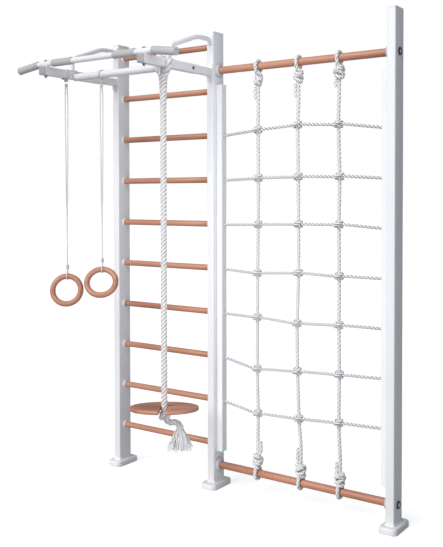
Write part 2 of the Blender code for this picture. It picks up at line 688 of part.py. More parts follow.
def make_arm(side):
    """Bracket, sleeve, front plug and set bolt of one arm."""
    x = ARM_X[side]
    outward = -1 if side == "left" else 1
    stub = ARM_SIZE - 2 * ARM_WALL - 2 * FIT
    stub_corner = ARM_CORNER - ARM_WALL
    back = -POST_FRONT + FIT
    face = back + BRACKET_PLATE
    plate = box_outline(POST_WIDTH - 2 * CHAMFER, BRACKET_PLATE_HEIGHT, POST_CORNER)
    bore = square(stub - 2 * ARM_WALL, stub_corner / 2)
    bm = bmesh.new()
    stack(bm, [(plate, back), (plate, face), (square(stub, stub_corner), face),
               (square(stub, stub_corner), BRACKET_STUB_END), (bore, BRACKET_STUB_END),
               (bore, face)])
    along_y(bm)
    bracket = put("arm_bracket_" + side, bm, MATERIALS["white"], (x, 0, ARM_HEIGHT))

    outer = square(ARM_SIZE, ARM_CORNER)
    inner = square(ARM_SIZE - 2 * ARM_WALL, stub_corner)
    bm = bmesh.new()
    stack(bm, [(outer, ARM_BACK), (outer, ARM_FRONT), (inner, ARM_FRONT), (inner, ARM_BACK)],
          closed=True)
    along_y(bm)
    arm = put("arm_" + side, bm, MATERIALS["white"], (x, 0, ARM_HEIGHT))

    set_x = x + outward * ARM_SIZE / 2
    for piece in (bracket, arm):
        combine(piece, side_drill(piece.name + "_set", set_x, SET_BOLT_Y, ARM_HEIGHT, ARM_SIZE / 2),
                "DIFFERENCE")
    inner_face = x - outward * ARM_SIZE / 2
    place = (inner_face, -CROSSBAR_Y, CROSSBAR_HEIGHT + SPIGOT_RISE)
    socket = rods([place], SPIGOT_DIAMETER + 2 * FIT, ARM_SIZE, TUBE_SIDES, (1, 0, 0))
    combine(arm, helper(arm.name + "_socket", socket), "DIFFERENCE")
    down = rods([(x, -PULL_UP_Y, ARM_HEIGHT)], BOLT_DIAMETER + 2 * BOLT_CLEARANCE, 2 * ARM_SIZE,
                SMALL_SIDES, (0, 0, 1))
    combine(arm, helper(arm.name + "_down", down), "DIFFERENCE")

    plug = square(ARM_SIZE - 2 * ARM_WALL - 2 * FIT, stub_corner)
    front = ARM_FRONT + FIT
    bm = bmesh.new()
    stack(bm, [(plug, ARM_FRONT - PLUG_DEPTH), (plug, front), (outer, front),
               (outer, front + 0.3 * PLUG_DOME),
               (square(0.9 * ARM_SIZE, ARM_CORNER), front + 0.75 * PLUG_DOME),
               (square(0.7 * ARM_SIZE, ARM_CORNER), front + PLUG_DOME)])
    along_y(bm)
    put("arm_plug_" + side, bm, MATERIALS["plug"], (x, 0, ARM_HEIGHT))

    make_bolt("set_bolt_" + side, (set_x, -SET_BOLT_Y, ARM_HEIGHT), outward,
              2 * ARM_WALL + FIT + BOLT_DIAMETER)


def bolt_profile(length):
    """A domed head at the top of a shank of the given length."""
    shank = BOLT_DIAMETER / 2
    head = BOLT_HEAD_DIAMETER / 2
    return [(0, -length), (shank, -length), (shank, FIT), (head, FIT),
            (head, BOLT_HEAD_HEIGHT / 2), (0.7 * head, BOLT_HEAD_HEIGHT), (0, BOLT_HEAD_HEIGHT)]


def make_bolt(name, place, outward, length):
    """A bolt that goes in along X, with its head at the given place."""
    put(name, turned(bolt_profile(length), SMALL_SIDES), MATERIALS["bolt"], place,
        (0, outward * math.pi / 2, 0))


def make_pull_up_bar():
    """One tube across both arms, its outer ends bent down."""
    droop = math.radians(PULL_UP_DROOP)
    bend = PULL_UP_BEND_START
    run = Vector((PULL_UP_OUTER * math.cos(droop), 0, -PULL_UP_OUTER * math.sin(droop)))
    right = [Vector((bend, 0, 0)), Vector((bend, 0, 0)) + run]
    left = [Vector((LEFT_X - p.x, 0, p.z)) for p in reversed(right)]
    pipe = tube_curve("pull_up_bar", left + right, PULL_UP_DIAMETER, TUBE_SIDES // 2 - 2,
                      caps=False)
    wall = pipe.modifiers.new("wall", "SOLIDIFY")
    wall.thickness = PULL_UP_WALL
    wall.offset = -1
    bm = as_bmesh([pipe])
    bar = put("pull_up_bar", bm, MATERIALS["white"], (0, -PULL_UP_Y, PULL_UP_HEIGHT))
    places = [(x, -PULL_UP_Y, PULL_UP_HEIGHT) for x in ARM_X.values()]
    drill = rods(places, BOLT_DIAMETER + 2 * BOLT_CLEARANCE, 2 * PULL_UP_DIAMETER, SMALL_SIDES,
                 (0, 0, 1))
    combine(bar, helper("pull_up_drill", drill), "DIFFERENCE")

    bore = PULL_UP_DIAMETER / 2 + FIT
    radius = GRIP_DIAMETER / 2
    sleeve = [(bore, 0), (radius - CHAMFER, 0), (radius, CHAMFER),
              (radius, GRIP_INNER_LENGTH - CHAMFER), (radius - CHAMFER, GRIP_INNER_LENGTH),
              (bore, GRIP_INNER_LENGTH)]
    length = PULL_UP_OUTER - GRIP_OUTER_START + FIT
    closed = [(0, length), (bore, length), (bore, 0), (radius - CHAMFER, 0), (radius, CHAMFER),
              (radius, length + GRIP_END - 2 * CHAMFER),
              (radius - 2 * CHAMFER, length + GRIP_END), (0, length + GRIP_END)]
    for side, x in ARM_X.items():
        outward = -1 if side == "left" else 1
        put("grip_inner_" + side, turned(sleeve, TUBE_SIDES, bored=True), MATERIALS["grip"],
            (x - outward * GRIP_INNER_START, -PULL_UP_Y, PULL_UP_HEIGHT),
            (0, -outward * math.pi / 2, 0))
        start = Vector((x + outward * (bend + GRIP_OUTER_START * math.cos(droop)), -PULL_UP_Y,
                        PULL_UP_HEIGHT - GRIP_OUTER_START * math.sin(droop)))
        put("grip_outer_" + side, turned(closed, TUBE_SIDES), MATERIALS["grip"], start,
            (0, outward * (math.pi / 2 + droop), 0))
        make_bar_clamp(side, x)


def make_bar_clamp(side, x):
    """The bolt down through the pull-up bar and the arm, with its nut under the arm."""
    shank = BOLT_DIAMETER / 2
    head = BOLT_HEAD_DIAMETER / 2
    top = PULL_UP_HEIGHT + PULL_UP_DIAMETER / 2 + FIT
    under = ARM_UNDER - FIT
    profile = [(0, under - 1.6 * BOLT_DIAMETER), (shank, under - 1.6 * BOLT_DIAMETER),
               (shank, under - BOLT_DIAMETER), (head, under - BOLT_DIAMETER), (head, under),
               (shank, under), (shank, top), (head, top), (head, top + BOLT_HEAD_HEIGHT / 2),
               (0.7 * head, top + BOLT_HEAD_HEIGHT), (0, top + BOLT_HEAD_HEIGHT)]
    put("bar_clamp_bolt_" + side, turned(profile, SMALL_SIDES), MATERIALS["bolt"],
        (x, -PULL_UP_Y, 0))


def make_crossbar():
    """A tube between the arms, with a bored spigot at each end that sits in the arm's wall."""
    length = LADDER_SPACING - ARM_SIZE - 2 * FIT
    half = length / 2
    radius = CROSSBAR_DIAMETER / 2
    inner = radius - CROSSBAR_WALL
    outer = [(0, -half), (radius, -half), (radius, half), (0, half)]
    bar = put("crossbar", turned(outer, TUBE_SIDES), MATERIALS["white"],
              (LEFT_X / 2, -CROSSBAR_Y, CROSSBAR_HEIGHT), (0, math.pi / 2, 0))
    space = half - CROSSBAR_END
    hollow = turned([(0, -space), (inner, -space), (inner, space), (0, space)], TUBE_SIDES)
    core = put("crossbar_core", hollow, MATERIALS["white"],
               (LEFT_X / 2, -CROSSBAR_Y, CROSSBAR_HEIGHT), (0, math.pi / 2, 0))
    middle = (LEFT_X / 2, -CROSSBAR_Y, CROSSBAR_HEIGHT + SPIGOT_RISE)
    reach = LADDER_SPACING - ARM_SIZE + 2 * ARM_WALL
    spigot = rods([middle], SPIGOT_DIAMETER, reach, TUBE_SIDES, (1, 0, 0))
    combine(bar, helper("crossbar_spigot", spigot), "UNION")
    combine(bar, core, "DIFFERENCE")
    bore = rods([middle], SPIGOT_BORE, 2 * reach, SMALL_SIDES, (1, 0, 0))
    combine(bar, helper("crossbar_bore", bore), "DIFFERENCE")


def make_brace(side):
    """A bent tube from the post's face down to the top of the arm, with a plate at each end."""
    x = ARM_X[side]
    back = POST_FRONT - FIT
    foot = ARM_TOP + FIT
    route = [Vector((x, back - BRACE_PLATE / 2, BRACE_HEIGHT)),
             Vector((x, -BRACE_FLAT_END + BRACE_BEND, BRACE_HEIGHT)),
             Vector((x, -BRACE_FLAT_END - BRACE_BEND, BRACE_HEIGHT - BRACE_DIP))]
    route += [Vector((x, -CROSSBAR_Y + back_off, BRACE_ELBOW_HEIGHT + rise))
              for back_off, rise in BRACE_ELBOW]
    route.append(Vector((x, -CROSSBAR_Y, foot + BRACE_PLATE / 2)))
    pipe = tube_curve("brace", route, BRACE_DIAMETER, 3, caps=True)
    brace = put("brace_" + side, as_bmesh([pipe]), MATERIALS["white"])
    plate = bmesh.new()
    outline = box_outline(BRACE_PLATE_WIDTH, BRACE_PLATE_HEIGHT, POST_CORNER)
    stack(plate, [(outline, -back), (outline, -back + BRACE_PLATE)])
    along_y(plate)
    bmesh.ops.translate(plate, vec=(x, 0, BRACE_HEIGHT), verts=plate.verts)
    sole = bmesh.new()
    outline = box_outline(BRACE_PLATE_WIDTH, BRACE_PLATE_HEIGHT, POST_CORNER)
    stack(sole, [(outline, foot), (outline, foot + BRACE_PLATE)])
    bmesh.ops.translate(sole, vec=(x, -CROSSBAR_Y, 0), verts=sole.verts)
    combine(brace, helper("brace_plate_" + side, plate), "UNION")
    combine(brace, helper("brace_sole_" + side, sole), "UNION")


# Rings

def square_loop(centre, half, corner, steps=2):
    """Points round a square section in the XZ plane."""
    outline = box_outline(2 * half, 2 * half, corner, steps)
    return [centre + Vector((u, 0, v)) for u, v in outline]


def round_loop(centre, radius, steps=12):
    """Points round a bar that runs along X, in the YZ plane."""
    angles = [2 * math.pi * i / steps for i in range(steps)]
    return [centre + Vector((0, radius * math.sin(a), radius * math.cos(a))) for a in angles]


def make_ring_set(side, pivot, loop, ring_top, tilt):
    """A cord loop on the frame, a doubled cord that swings under it, and a wooden ring."""
    bm = as_bmesh([tube_curve("loop", loop, RING_CORD, 1, caps=False, cyclic=True)])
    hitch = put("ring_hitch_" + side, bm, MATERIALS["rope"])
    knot = bmesh.new()
    low = pivot.z + CORD_KNOT / 2 + FIT
    high = pivot.z + CORD_DROP + RING_CORD / 2
    ball(knot, Vector((pivot.x, pivot.y, (low + high) / 2)), 0.8 * CORD_KNOT, high - low)
    combine(hitch, helper("hitch_knot_" + side, knot), "UNION")

    eye_step = math.pi / 2 / EYE_STEPS
    wrap = ((RING_TUBE + RING_CORD) / 2 + FIT) / math.cos(eye_step / 2)
    eye = Vector((pivot.x, pivot.y, ring_top))
    close = STRAND_CLOSE / 2
    spread = STRAND_SPREAD / 2
    lower = ring_top + LOWER_KNOT_RISE
    strand = [Vector((pivot.x, pivot.y, pivot.z - RING_CORD / 3)) + ACROSS * close,
              Vector((pivot.x, pivot.y, pivot.z - CORD_KNOT)) + ACROSS * close]
    run = pivot.z - CORD_KNOT - lower
    for share in (0.08, 0.36, 0.64, 0.92):
        turn = Matrix.Rotation(-math.pi / 2 * share, 3, "Z")
        strand.append(Vector((pivot.x, pivot.y, pivot.z - CORD_KNOT - run * share))
                      + turn @ ACROSS * spread)
    strand.append(Vector((eye.x, eye.y, lower)) + TOWARDS_ROOM * close)
    strand.append(eye + UP * wrap * 1.3 + TOWARDS_ROOM * 0.62 * wrap)
    strand += [eye + TOWARDS_ROOM * wrap * math.cos(i * eye_step) - UP * wrap * math.sin(i * eye_step)
               for i in range(-1, EYE_STEPS)]
    bottom = eye - UP * wrap
    mirror = [Vector((2 * eye.x - p.x, 2 * eye.y - p.y, p.z)) for p in reversed(strand)]
    cord = put("ring_cord_" + side,
               as_bmesh([tube_curve("strands", strand + [bottom] + mirror, RING_CORD, 1)]),
               MATERIALS["rope"], pivot=pivot)
    knots = bmesh.new()
    ball(knots, pivot, CORD_KNOT, CORD_KNOT)
    ball(knots, Vector((eye.x, eye.y, lower)), CORD_KNOT, LOWER_KNOT_HEIGHT)
    combine(cord, helper("cord_knots_" + side, knots), "UNION")

    bm = bmesh.new()
    middle = RING_DIAMETER / 2 - RING_TUBE / 2
    circle = bmesh.ops.create_circle(bm, segments=SMALL_SIDES, radius=RING_TUBE / 2)
    bmesh.ops.rotate(bm, cent=(0, 0, 0), matrix=Matrix.Rotation(math.pi / 2, 3, "Y"),
                     verts=circle["verts"])
    bmesh.ops.spin(bm, geom=bm.verts[:] + bm.edges[:], cent=(0, 0, -middle), axis=(0, 1, 0),
                   angle=2 * math.pi, steps=FINE_SIDES, use_merge=True)
    ring = put("ring_" + side, bm, MATERIALS["wood"], eye)
    ring.rotation_euler = (Matrix.Rotation(FACING, 3, "Z")
                           @ Matrix.Rotation(-math.radians(tilt), 3, "X")).to_euler()


def make_rings():
    left_arm = ARM_X["left"]
    gap = RING_CORD / 2 + FIT
    centre = Vector((left_arm, -RING_LEFT_Y, ARM_HEIGHT))
    loop = square_loop(centre, ARM_SIZE / 2 + gap, ARM_CORNER + gap)
    pivot = Vector((left_arm + RING_LEFT_OFFSET, -RING_LEFT_Y, ARM_UNDER - gap - CORD_DROP))
    make_ring_set("left", pivot, loop, RING_LEFT_TOP, RING_LEFT_TILT)

    centre = Vector((RING_RIGHT_X, -CROSSBAR_Y, CROSSBAR_HEIGHT))
    radius = CROSSBAR_DIAMETER / 2 + gap
    pivot = centre - UP * (radius + CORD_DROP)
    make_ring_set("right", pivot, round_loop(centre, radius), RING_RIGHT_TOP, RING_RIGHT_TILT)


# Climbing rope and seat

def seat_axis():
    """The seat's upward normal, leaning away from the room's right."""
    tilt = math.radians(SEAT_TILT)
    return (UP * math.cos(tilt) - TOWARDS_ROOM * math.sin(tilt)).normalized()


def make_rope_hitch():
    """Two turns of cord round the right arm and the knot that the rope hangs from."""
    x = ARM_X["right"]
    gap = HITCH_CORD / 2 + FIT
    half = ARM_SIZE / 2 + gap
    centre = Vector((x, -CLIMBING_ROPE_Y, ARM_HEIGHT))
    loop = square_loop(centre, half, ARM_CORNER + gap)
    under = round(len(loop) * 0.75)
    loop = [centre - UP * half] + loop[under:] + loop[:under]
    steps = HITCH_TURNS * len(loop)
    pitch = HITCH_CORD + KNOT_GAP
    coil = [loop[i % len(loop)] + Vector((0, pitch * (i / len(loop) - HITCH_TURNS / 2), 0))
            for i in range(steps + 1)]
    first = put("rope_hitch", as_bmesh([tube_curve("turns", coil, HITCH_CORD, 1)]),
                MATERIALS["rope"])
    top = ARM_UNDER - HITCH_CORD / 4
    bottom = ARM_UNDER - HITCH_DROP + FIT
    neck = turned([(0, bottom), (0.5 * CLIMBING_ROPE, bottom), (0.6 * CLIMBING_ROPE, bottom + 0.006),
                   (0.62 * CLIMBING_ROPE, top - 0.006), (0.5 * CLIMBING_ROPE, top), (0, top)],
                  SMALL_SIDES)
    tool = put("hitch_neck", neck, MATERIALS["rope"], (x, -CLIMBING_ROPE_Y, 0))
    combine(first, tool, "UNION")


def rope_points():
    """From the rounded top at the hitch down through the seat to the tail's end."""
    x = ARM_X["right"]
    y = -CLIMBING_ROPE_Y
    top = ARM_UNDER - HITCH_DROP
    axis = seat_axis()
    seat = Vector((x, y, SEAT_HEIGHT))
    radius = CLIMBING_ROPE / 2
    knot = seat - axis * seat_to_knot()
    rounded = [(radius * (1 - math.cos(a)), math.sin(a)) for a in
               (math.radians(9), math.radians(36), math.radians(63), math.pi / 2)]
    points = [Vector((x, y, top - drop)) for drop, _ in rounded]
    widths = [width for _, width in rounded]
    route = [points[-1], Vector((x, y, 0.72 * top + 0.28 * SEAT_HEIGHT)),
             Vector((x, y, 0.42 * top + 0.58 * SEAT_HEIGHT)),
             Vector((x, y, 0.16 * top + 0.84 * SEAT_HEIGHT)), seat + axis * 0.05]
    body = smooth_route(route, 3)[1:]
    tail = [seat, knot]
    for share, height in TAIL_BEND:
        place = seat + ACROSS * share * TAIL_REACH
        tail.append(Vector((place.x, place.y, height)))
    below = smooth_route(tail, 2)
    points += body + below
    widths += [1] * (len(body) + len(below))
    return points, widths


def seat_to_knot():
    """From the seat's middle to the centre of the knot that its hole rests on."""
    hole = CLIMBING_ROPE / 2 + SEAT_CLEARANCE
    return SEAT_THICKNESS / 2 + math.sqrt((SEAT_KNOT / 2 + FIT) ** 2 - hole ** 2)


def make_climbing_rope():
    """The rope with its seat knot and frayed end, which swings from its rounded top."""
    points, widths = rope_points()
    place = Vector((ARM_X["right"], -CLIMBING_ROPE_Y, 0))
    pivot = place + UP * (ARM_UNDER - HITCH_DROP - CLIMBING_ROPE / 2)
    strand = as_bmesh([tube_curve("rope", points, CLIMBING_ROPE, 2, swell=widths)])
    rope = put("climbing_rope", strand, MATERIALS["rope"], pivot=pivot)
    knot = bmesh.new()
    centre = place + UP * SEAT_HEIGHT - seat_axis() * seat_to_knot()
    ball(knot, centre, SEAT_KNOT, SEAT_KNOT, 8, TUBE_SIDES)
    combine(rope, helper("seat_knot", knot), "UNION")
    neck = TASSEL_NECK / 2
    wide = TASSEL_WIDTH / 2
    profile = [(0, TASSEL_TOP), (0.6 * neck, TASSEL_TOP), (neck, TASSEL_TOP - 0.008),
               (neck, TASSEL_TOP - 0.020)]
    profile += [(share * wide, TASSEL_TOP - drop) for share, drop in TASSEL_FLARE]
    profile += [(wide, TASSEL_BOTTOM + 0.008), (0.9 * wide, TASSEL_BOTTOM), (0, TASSEL_BOTTOM)]
    tassel = put("tassel", turned(profile[::-1], TUBE_SIDES), MATERIALS["rope"],
                 place + ACROSS * TAIL_REACH)
    combine(rope, tassel, "UNION")


def make_seat():
    """A round board with a rounded rim and a slot from its edge to its middle."""
    radius = SEAT_DIAMETER / 2
    half = SEAT_THICKNESS / 2
    profile = [(0, -half)]
    for corner, start in ((-half + SEAT_ROUNDING, -90), (half - SEAT_ROUNDING, 0)):
        for angle in (start, start + 45, start + 90):
            swing = math.radians(angle)
            profile.append((radius - SEAT_ROUNDING + SEAT_ROUNDING * math.cos(swing),
                            corner + SEAT_ROUNDING * math.sin(swing)))
    profile.append((0, half))
    lean = UP.rotation_difference(seat_axis()).to_matrix()
    facing = Matrix.Rotation(FACING, 3, "Z")
    turn = (lean @ facing).to_euler()
    place = (ARM_X["right"], -CLIMBING_ROPE_Y, SEAT_HEIGHT)
    seat = put("seat", turned(profile, FINE_SIDES), MATERIALS["wood"], place, turn)
    hole = CLIMBING_ROPE / 2 + SEAT_CLEARANCE
    outline = [(hole * math.cos(a), hole * math.sin(a)) for a in
               (math.radians(180 * i / 10) for i in range(11))]
    outline += [(-hole, -radius - hole), (hole, -radius - hole)]
    bm = bmesh.new()
    stack(bm, [(outline, -SEAT_THICKNESS), (outline, SEAT_THICKNESS)])
    slot = put("seat_slot", bm, MATERIALS["wood"], place, turn)
    combine(seat, slot, "DIFFERENCE")


clear_scene()
MATERIALS = {
    "white": finish("white_powder_coat", (0.83, 0.84, 0.87), 0.38),
    "rail": finish("white_rail_coat", (0.84, 0.85, 0.88), 0.42),
    "foot": finish("white_moulded_foot", (0.80, 0.80, 0.82), 0.48),
    "wood": finish("beech", (0.72, 0.40, 0.26), 0.42),
    "rope": finish("white_rope", (0.86, 0.86, 0.86), 0.85),
    "grip": finish("grey_rubber", (0.34, 0.35, 0.37), 0.75),
    "plug": finish("dark_grey_plastic", (0.20, 0.21, 0.23), 0.55),
    "black": finish("black_plastic", (0.02, 0.02, 0.02), 0.35),
    "bolt": finish("dark_steel", (0.18, 0.18, 0.19), 0.4, 0.9),
}

make_post("left", 1, 0)
make_post("middle", -1, 1)
make_post("right", 0, 1)
for post_side in POST_X:
    make_cap(post_side)
    make_foot(post_side)
make_rungs()
make_net_bars()
make_flanges()
make_bar_bolts()
make_net_rail("left", RAIL_X, 1)
make_net_rail("right", RIGHT_X - RAIL_X, -1)
make_net()
for arm_side in ARM_X:
    make_arm(arm_side)
    make_brace(arm_side)
make_crossbar()
make_pull_up_bar()
make_rings()
make_rope_hitch()
make_climbing_rope()
make_seat()
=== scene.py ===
# %% [markdown]
# # Children's wall bars
# Three steel posts carry a ladder of beech rungs and a knotted rope net. Two arms reach out over
# the room from the ladder, with a pull-up bar, two wooden rings and a climbing rope with a seat.
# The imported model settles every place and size. This notebook repeats them and gives the pieces
# their real surfaces: finer turned wood, laid rope, moulded feet and daylight finishes.

import random
from math import cos, dist, pi, radians, sin, sqrt, tau

import bmesh
import bpy
from mathutils import Matrix, Vector


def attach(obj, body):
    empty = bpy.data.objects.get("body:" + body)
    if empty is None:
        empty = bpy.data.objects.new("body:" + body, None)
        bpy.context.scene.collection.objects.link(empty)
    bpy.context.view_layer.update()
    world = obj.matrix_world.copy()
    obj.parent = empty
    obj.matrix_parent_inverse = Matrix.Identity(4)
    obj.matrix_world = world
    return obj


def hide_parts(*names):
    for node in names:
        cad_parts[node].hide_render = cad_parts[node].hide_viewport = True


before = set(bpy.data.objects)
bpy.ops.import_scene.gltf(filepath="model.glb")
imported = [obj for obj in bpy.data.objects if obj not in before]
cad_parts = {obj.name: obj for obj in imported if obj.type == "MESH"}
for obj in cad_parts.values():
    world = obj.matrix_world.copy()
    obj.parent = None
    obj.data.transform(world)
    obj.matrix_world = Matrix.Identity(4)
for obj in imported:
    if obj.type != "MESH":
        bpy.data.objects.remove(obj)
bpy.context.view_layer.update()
UP = Vector((0, 0, 1))
ALONG_X = Vector((1, 0, 0))


def placed(name, data):
    """A new object in the scene for a mesh, curve, light or camera."""
    made = bpy.data.objects.new(name, data)
    bpy.context.scene.collection.objects.link(made)
    return made


# %% [markdown]
# ## The camera
# A photograph is rebuilt most easily from the same place it was taken. Here the lens stands at a
# grown-up's eye height, to the right of the net, and looks almost level. The picture is framed
# below the lens's own axis, so the camera is shifted instead of tilted and the posts stay upright.

# %% Camera
EYE = Vector((2.3768, -3.3312, 1.456))
LOOKS_FROM = 35.05  # degrees round from straight ahead, towards the net
LOOKS_DOWN = 1.397
ROLL = -0.09
LENS = 53.97  # millimetres
SENSOR = 36
SHIFT = (-0.001, -0.105)
FARTHEST = 400

lens = bpy.data.cameras.new("camera")
lens.lens = LENS
lens.sensor_width = SENSOR
lens.shift_x, lens.shift_y = SHIFT
lens.clip_end = FARTHEST
camera = placed("camera", lens)
turns = ((LOOKS_FROM, "Z"), (90 - LOOKS_DOWN, "X"), (ROLL, "Z"))  # a new camera looks straight down
camera.matrix_world = Matrix.Translation(EYE)
for degrees, axis in turns:
    camera.matrix_world @= Matrix.Rotation(radians(degrees), 4, axis)
bpy.context.scene.camera = camera
print("camera stands", round(EYE.z, 3), "m above the floor")

# %% [markdown]
# ## Nodes
# A sky and a finish are both made of nodes. One helper adds a node and fills its sockets by name,
# each with a value or with the output of another node.

# %% Node helpers
def plug(socket, value):
    """Set a socket to a value, or link another node's output to it."""
    if isinstance(value, bpy.types.NodeSocket):
        socket.id_data.links.new(value, socket)
    else:
        socket.default_value = value


def fill(made, **sockets):
    for name, value in sockets.items():
        plug(made.inputs[name.replace("_", " ")], value)


def node(near, kind, settings=None, **sockets):
    """Add a node beside another or its socket, set its options and fill its sockets."""
    made = near.id_data.nodes.new("ShaderNode" + kind)
    for name, value in (settings or {}).items():
        setattr(made, name, value)
    fill(made, **sockets)
    return made


# %% [markdown]
# ## Light
# White coated steel needs a soft light from the front, or its faces melt into each other. A wide sun
# makes soft shadows and lights near and far alike. It stands high in front and a little to the left,
# so the faces that look right fall into a cool shade, which a pale sky fills. A tall soft box stands
# in front of the net and looks left, and opens up the shade behind the bars and arms while the right
# post's side stays dark. A small one near the floor lights the lower net bar where the seat would
# shade it. The plain view transform keeps white surfaces white and the beech as warm as it is.

# %% Sky, sun and soft boxes
SKY_SEEN = (1.0, 1.0, 1.0)
SKY_LIGHT = (0.8, 0.86, 1.0)
SKY_STRENGTH = 0.25
SUN_FROM = Vector((-0.13, -0.8, 0.585))
SUN_STRENGTH = 2.78
SUN_WIDTH = 44  # degrees across
SUN_COLOUR = (1.0, 0.985, 0.955)
SOFT_BOXES = {  # place, way it looks, size, watts, degrees across
    "tall_box": ((0.9, -0.72, 1.45), (-0.88, 0.46, 0.0), (0.9, 2.2), 4.3, 105),
    "low_box": ((0.3, -0.7, 0.2), (-0.2, 0.97, -0.06), (0.25, 0.25), 0.15, 56),
}

bpy.context.scene.view_settings.view_transform = "Standard"
world = bpy.data.worlds.new("studio")
world.use_nodes = True
tree = world.node_tree
tree.nodes.clear()
bpy.context.scene.world = world
seen = node(tree, "Background", Color=(*SKY_SEEN, 1))
given = node(tree, "Background", Color=(*SKY_LIGHT, 1), Strength=SKY_STRENGTH)
both = node(tree, "MixShader", Fac=node(tree, "LightPath").outputs["Is Camera Ray"])
for socket, part in zip(both.inputs[1:], (given, seen)):
    plug(socket, part.outputs["Background"])
node(tree, "OutputWorld", Surface=both.outputs["Shader"])

sun = bpy.data.lights.new("sun", "SUN")
sun.energy = SUN_STRENGTH
sun.angle = radians(SUN_WIDTH)
sun.color = SUN_COLOUR
placed("sun", sun).rotation_euler = (-SUN_FROM).to_track_quat("-Z", "Y").to_euler()

for name, (place, looks, size, watts, spread) in SOFT_BOXES.items():
    box = bpy.data.lights.new(name, "AREA")
    box.shape = "RECTANGLE"
    box.size, box.size_y = size
    box.energy = watts
    box.spread = radians(spread)
    holder = placed(name, box)
    holder.location = place
    holder.rotation_euler = Vector(looks).to_track_quat("-Z", "Y").to_euler()
    holder.visible_camera = False
print("lights: sun,", ", ".join(SOFT_BOXES))

# %% [markdown]
# ## Building blocks
# Most of this object is turned, drawn or laid: rungs and rings on a lathe, tubes through a die,
# ropes on a ropewalk. So a few helpers do nearly all the work. Each adds to a bmesh, and `show`
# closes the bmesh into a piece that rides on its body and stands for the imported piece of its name.

# %% Finished pieces
TOUCHING = 1e-6  # points nearer than this become one
SHARP = 35  # degrees between two faces from which their edge stays sharp
ROPE_SHARP = 60


def mesh_of(bm, name):
    """A mesh made from a bmesh, which is let go."""
    mesh = bpy.data.meshes.new(name)
    bm.to_mesh(mesh)
    bm.free()
    return mesh


def show(name, bm, finish, slot, body="frame", extra=False):
    """Turn a bmesh into a finished piece on a body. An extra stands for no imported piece."""
    bmesh.ops.remove_doubles(bm, verts=bm.verts, dist=TOUCHING)
    bmesh.ops.recalc_face_normals(bm, faces=bm.faces)
    mesh = mesh_of(bm, name)
    mesh.materials.append(finish)
    mesh.shade_smooth()
    mesh.set_sharp_from_angle(angle=radians(ROPE_SHARP if slot == "white_rope" else SHARP))
    piece = placed(name, mesh)
    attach(piece, body)
    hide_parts(*([] if extra else [name]))
    return piece


# %% Turned shapes
def lathe(bm, profile, place=(0, 0, 0), direction=UP, steps=40):
    """Spin an outline of (radius, height) points about a line through a place."""
    direction = Vector(direction).normalized()
    turn = UP.rotation_difference(direction).to_matrix().to_4x4()
    seat = Matrix.Translation(place) @ turn
    points = [bm.verts.new(seat @ Vector((radius, 0, height))) for radius, height in profile]
    edges = [bm.edges.new(pair) for pair in zip(points, points[1:])]
    bmesh.ops.spin(bm, geom=points + edges, cent=place, axis=direction, angle=tau, steps=steps,
                   use_merge=True)


def turned(name, profile, place, direction, steps, finish, slot, extra=False):
    """A finished piece of the frame that is one turned outline."""
    bm = bmesh.new()
    lathe(bm, profile, place, direction, steps)
    show(name, bm, finish, slot, extra=extra)


def mirrored(outline, height):
    """An outline and, after it, its mirror image seen from a height."""
    return outline + [(r, height - h) for r, h in reversed(outline)]


def eased(radius, low, high, edge, steps):
    """The outline of a plain round bar with rounded edges, from low to high."""
    arc = [pi / 2 * i / steps for i in range(steps + 1)]
    lower = [(radius - edge + edge * sin(a), low + edge - edge * cos(a)) for a in arc]
    return mirrored([(0, low)] + lower, low + high)


def bow(start, end, bulge, steps=6):
    """Points on an arc-like line from start to end that swells by a share of its length."""
    points = []
    wide, tall = end[0] - start[0], end[1] - start[1]
    for i in range(steps + 1):
        t = i / steps
        lift = bulge * sin(pi * t)
        points.append((start[0] + wide * t + lift * tall, start[1] + tall * t - lift * wide))
    return points


# %% Rounded boxes
def bevel(bm, edges, offset, segments):
    bmesh.ops.bevel(bm, geom=edges, offset=offset, segments=segments, profile=0.5, affect="EDGES",
                    material=-1)


def plain_box(bm, size, centre):
    """Add a box, and return its edges."""
    place = Matrix.Translation(centre) @ Matrix.Diagonal((*size, 1))
    verts = bmesh.ops.create_cube(bm, size=1, matrix=place)["verts"]
    return {e for v in verts for e in v.link_edges}


def runs_along(edges, along, length):
    return [e for e in edges if abs((e.verts[0].co - e.verts[1].co)[along]) > length / 2]


def block(bm, size, centre, corner, along, edge=0.0006):
    """A box whose long edges are rounded to a corner and whose end edges are just eased."""
    bevel(bm, runs_along(plain_box(bm, size, centre), along, size[along]), corner, 5)
    ends = [f for f in bm.faces if abs(f.normal[along]) > 0.99 and len(f.verts) > 4]
    if edge:
        bevel(bm, list({e for f in ends for e in f.edges}), edge, 2)


# %% Routes
def smooth_route(points, steps):
    """Points on a smooth curve through a route, with the given number of steps in each stretch."""
    knots = [Vector(p) for p in points]
    knots = [2 * knots[0] - knots[1]] + knots + [2 * knots[-1] - knots[-2]]
    route = []
    for a, b, c, d in zip(knots, knots[1:], knots[2:], knots[3:]):
        for i in range(steps):
            t = i / steps
            route.append(0.5 * (2 * b + (c - a) * t + (2 * a - 5 * b + 4 * c - d) * t ** 2
                                + (3 * b - a - 3 * c + d) * t ** 3))
    route.append(knots[-2])
    return route


def bent_route(corners, trim, steps=8):
    """A route of straight runs whose corners are rounded over a length on each side."""
    corners = [Vector(c) for c in corners]
    route = [corners[0]]
    for before, corner, after in zip(corners, corners[1:], corners[2:]):
        start = corner + (before - corner).normalized() * trim
        end = corner + (after - corner).normalized() * trim
        for i in range(steps + 1):
            t = i / steps
            route.append(start * (1 - t) ** 2 + corner * 2 * t * (1 - t) + end * t ** 2)
    return route + [corners[-1]]


